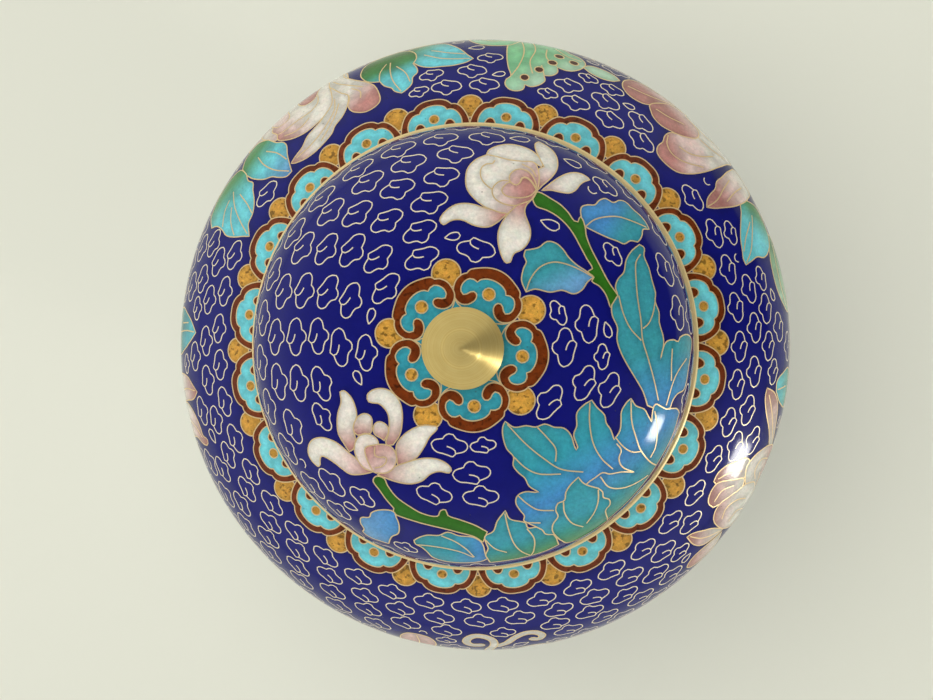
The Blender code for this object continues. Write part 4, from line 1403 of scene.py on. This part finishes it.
# The knob
# Solid brass, turned in one piece: a flat button with a sharp edge, a lower cone and a small step.
KNOB_LOW, KNOB_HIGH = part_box("knob")
KNOB_RADIUS = KNOB_HIGH.x
KNOB_DRAWN_RADIUS = 0.0083
KNOB_SECTION = [
    (0, 8.1), (0.5, 8.0), (3.3, 6.65), (3.75, 6.35), (3.95, 6.1), (4.1, 5.95), (4.5, 5.75), (7.05, 4.0), (7.5, 3.6),
    (8.0, 3.2), (8.3, 2.8), (8.3, 2.55), (8.0, 2.35), (7.6, 2.2), (6.2, 1.3), (5.8, 1.0), (5.8, 0),
]


def turned_brass():
    """Brass straight from the lathe: fine rings round the axis, which spread the light into a fan."""
    material, tree = new_material("turned_brass")
    where = tree.add("ShaderNodeTexCoord").out("Object")
    parts = tree.add("ShaderNodeSeparateXYZ", inputs={"Vector": where})
    x, y = parts.out("X"), parts.out("Y")
    from_axis = (x * x + y * y) ** 0.5
    marks = tree.add("ShaderNodeTexNoise", {"noise_dimensions": "1D"}, {
        "W": from_axis * 3800, "Scale": 1.0, "Detail": 4.0, "Roughness": 0.7})
    wear = tree.noise(where, 380, 3, 0.6)
    colour = tree.add("ShaderNodeMix", {"data_type": "RGBA"}, {
        "Factor_Float": marks * 1.6 + wear * 0.4 - 0.6, "A_Color": (1.0, 0.8, 0.32, 1),
        "B_Color": (0.85, 0.6, 0.17, 1)})
    bump = tree.add("ShaderNodeBump", inputs={"Strength": 1.0, "Distance": 1.0, "Height": marks * 0.000016})
    shader = tree.add("ShaderNodeBsdfPrincipled", inputs={
        "Base Color": colour, "Metallic": 0.8, "Roughness": 0.38 + wear * 0.12, "Anisotropic": 0.8,
        "Anisotropic Rotation": 0.25, "Normal": bump})
    tree.add("ShaderNodeOutputMaterial", inputs={"Surface": shader})
    return material


knob_profile = [(x * MM * KNOB_RADIUS / KNOB_DRAWN_RADIUS, KNOB_LOW.z + y * MM) for x, y in KNOB_SECTION]
knob = placed("knob_button", turned_mesh("turned_knob", knob_profile + [(0, KNOB_LOW.z)], False, 35))
knob.data.materials.append(turned_brass())
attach(knob, "root")
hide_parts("knob")


# The room
# A pale floor, haze all round but for a dark wall on the upper right, a small window low on the
# right, a wide soft light overhead and the camera above.
FLOOR_HALF = 2.5
floor_mesh = bpy.data.meshes.new("floor")
floor_mesh.from_pydata(
    [(x * FLOOR_HALF, y * FLOOR_HALF, 0) for x, y in ((-1, -1), (1, -1), (1, 1), (-1, 1))], [], [(0, 1, 2, 3)])
floor = placed("floor", floor_mesh)
floor_material, floor_tree = new_material("pale_floor")
floor_shader = floor_tree.add("ShaderNodeBsdfPrincipled", inputs={
    "Base Color": (0.79, 0.805, 0.70, 1), "Roughness": 0.8})
floor_tree.add("ShaderNodeOutputMaterial", inputs={"Surface": floor_shader})
floor_mesh.materials.append(floor_material)

DARK_SIDE = math.radians(16)
world = bpy.data.worlds.new("room")
bpy.context.scene.world = world
world.use_nodes = True
sky = Tree(world.node_tree)
way = sky.add("ShaderNodeTexCoord")
across = sky.add("ShaderNodeSeparateXYZ", inputs={"Vector": way})
east, north, up = across.out("X"), across.out("Y"), across.out("Z")
level = (east * east + north * north + 1e-6) ** 0.5
toward_dark = (east * math.cos(DARK_SIDE) + north * math.sin(DARK_SIDE)) / level
open_side = ((0.985 - toward_dark) * 6).at_least(0.05).at_most(1)
haze = (up * 1.8 + 0.5).at_least(0.5).at_most(1)
bright = 0.04 + open_side * (1.02 - up).at_least(0) ** 1.3 * haze * 1.1
seen = sky.add("ShaderNodeLightPath").out("Is Camera Ray")
back = sky.add("ShaderNodeBackground", inputs={
    "Color": (1.0, 0.99, 0.96, 1), "Strength": bright * (1 - seen) + seen * 0.72})
sky.add("ShaderNodeOutputWorld", inputs={"Surface": back})


def softbox(name, azimuth, elevation, distance, width, height, power, spread, seen):
    """A soft light that faces the jar, its azimuth counted from +X. seen: whether gloss mirrors it."""
    data = bpy.data.lights.new(name, "AREA")
    data.shape, data.size, data.size_y = "RECTANGLE", width, height
    data.energy, data.color, data.spread = power, (1.0, 0.985, 0.95), math.radians(spread)
    light = placed(name, data)
    a, e = math.radians(azimuth), math.radians(elevation)
    back_way = Vector((math.cos(a) * math.cos(e), math.sin(a) * math.cos(e), math.sin(e)))
    light.location = Vector((0, 0, BELLY_HEIGHT)) + back_way * distance
    light.rotation_euler = (-back_way).to_track_quat("-Z", "Y").to_euler()
    light.visible_glossy = seen


softbox("window", -25.5, 4, 1.5, 0.2, 0.42, 0.5, 50, True)
softbox("ceiling", 160, 77, 1.8, 2.0, 2.0, 33, 180, False)
bpy.context.scene.view_settings.view_transform = "Standard"

# The camera hangs over the jar, a little to its right, and looks down at the point of the knob
CAMERA_AT = (0.02373, 0.00353, 0.4535)
LOOK_AT = (0.00124, -0.00026, KNOB_HIGH.z)
FOCAL_PIXELS = 1402
PHOTO_WIDTH = 933
SENSOR = 36
camera_data = bpy.data.cameras.new("camera")
camera_data.sensor_width = SENSOR
camera_data.lens = SENSOR * FOCAL_PIXELS / PHOTO_WIDTH
camera_data.clip_start = 0.01
camera = placed("camera", camera_data)
camera.location = CAMERA_AT
forward = (Vector(LOOK_AT) - Vector(CAMERA_AT)).normalized()
right = forward.cross(Vector((0, 1, 0))).normalized()
camera.rotation_euler = Matrix((right, right.cross(forward), -forward)).transposed().to_euler()
bpy.context.scene.camera = camera
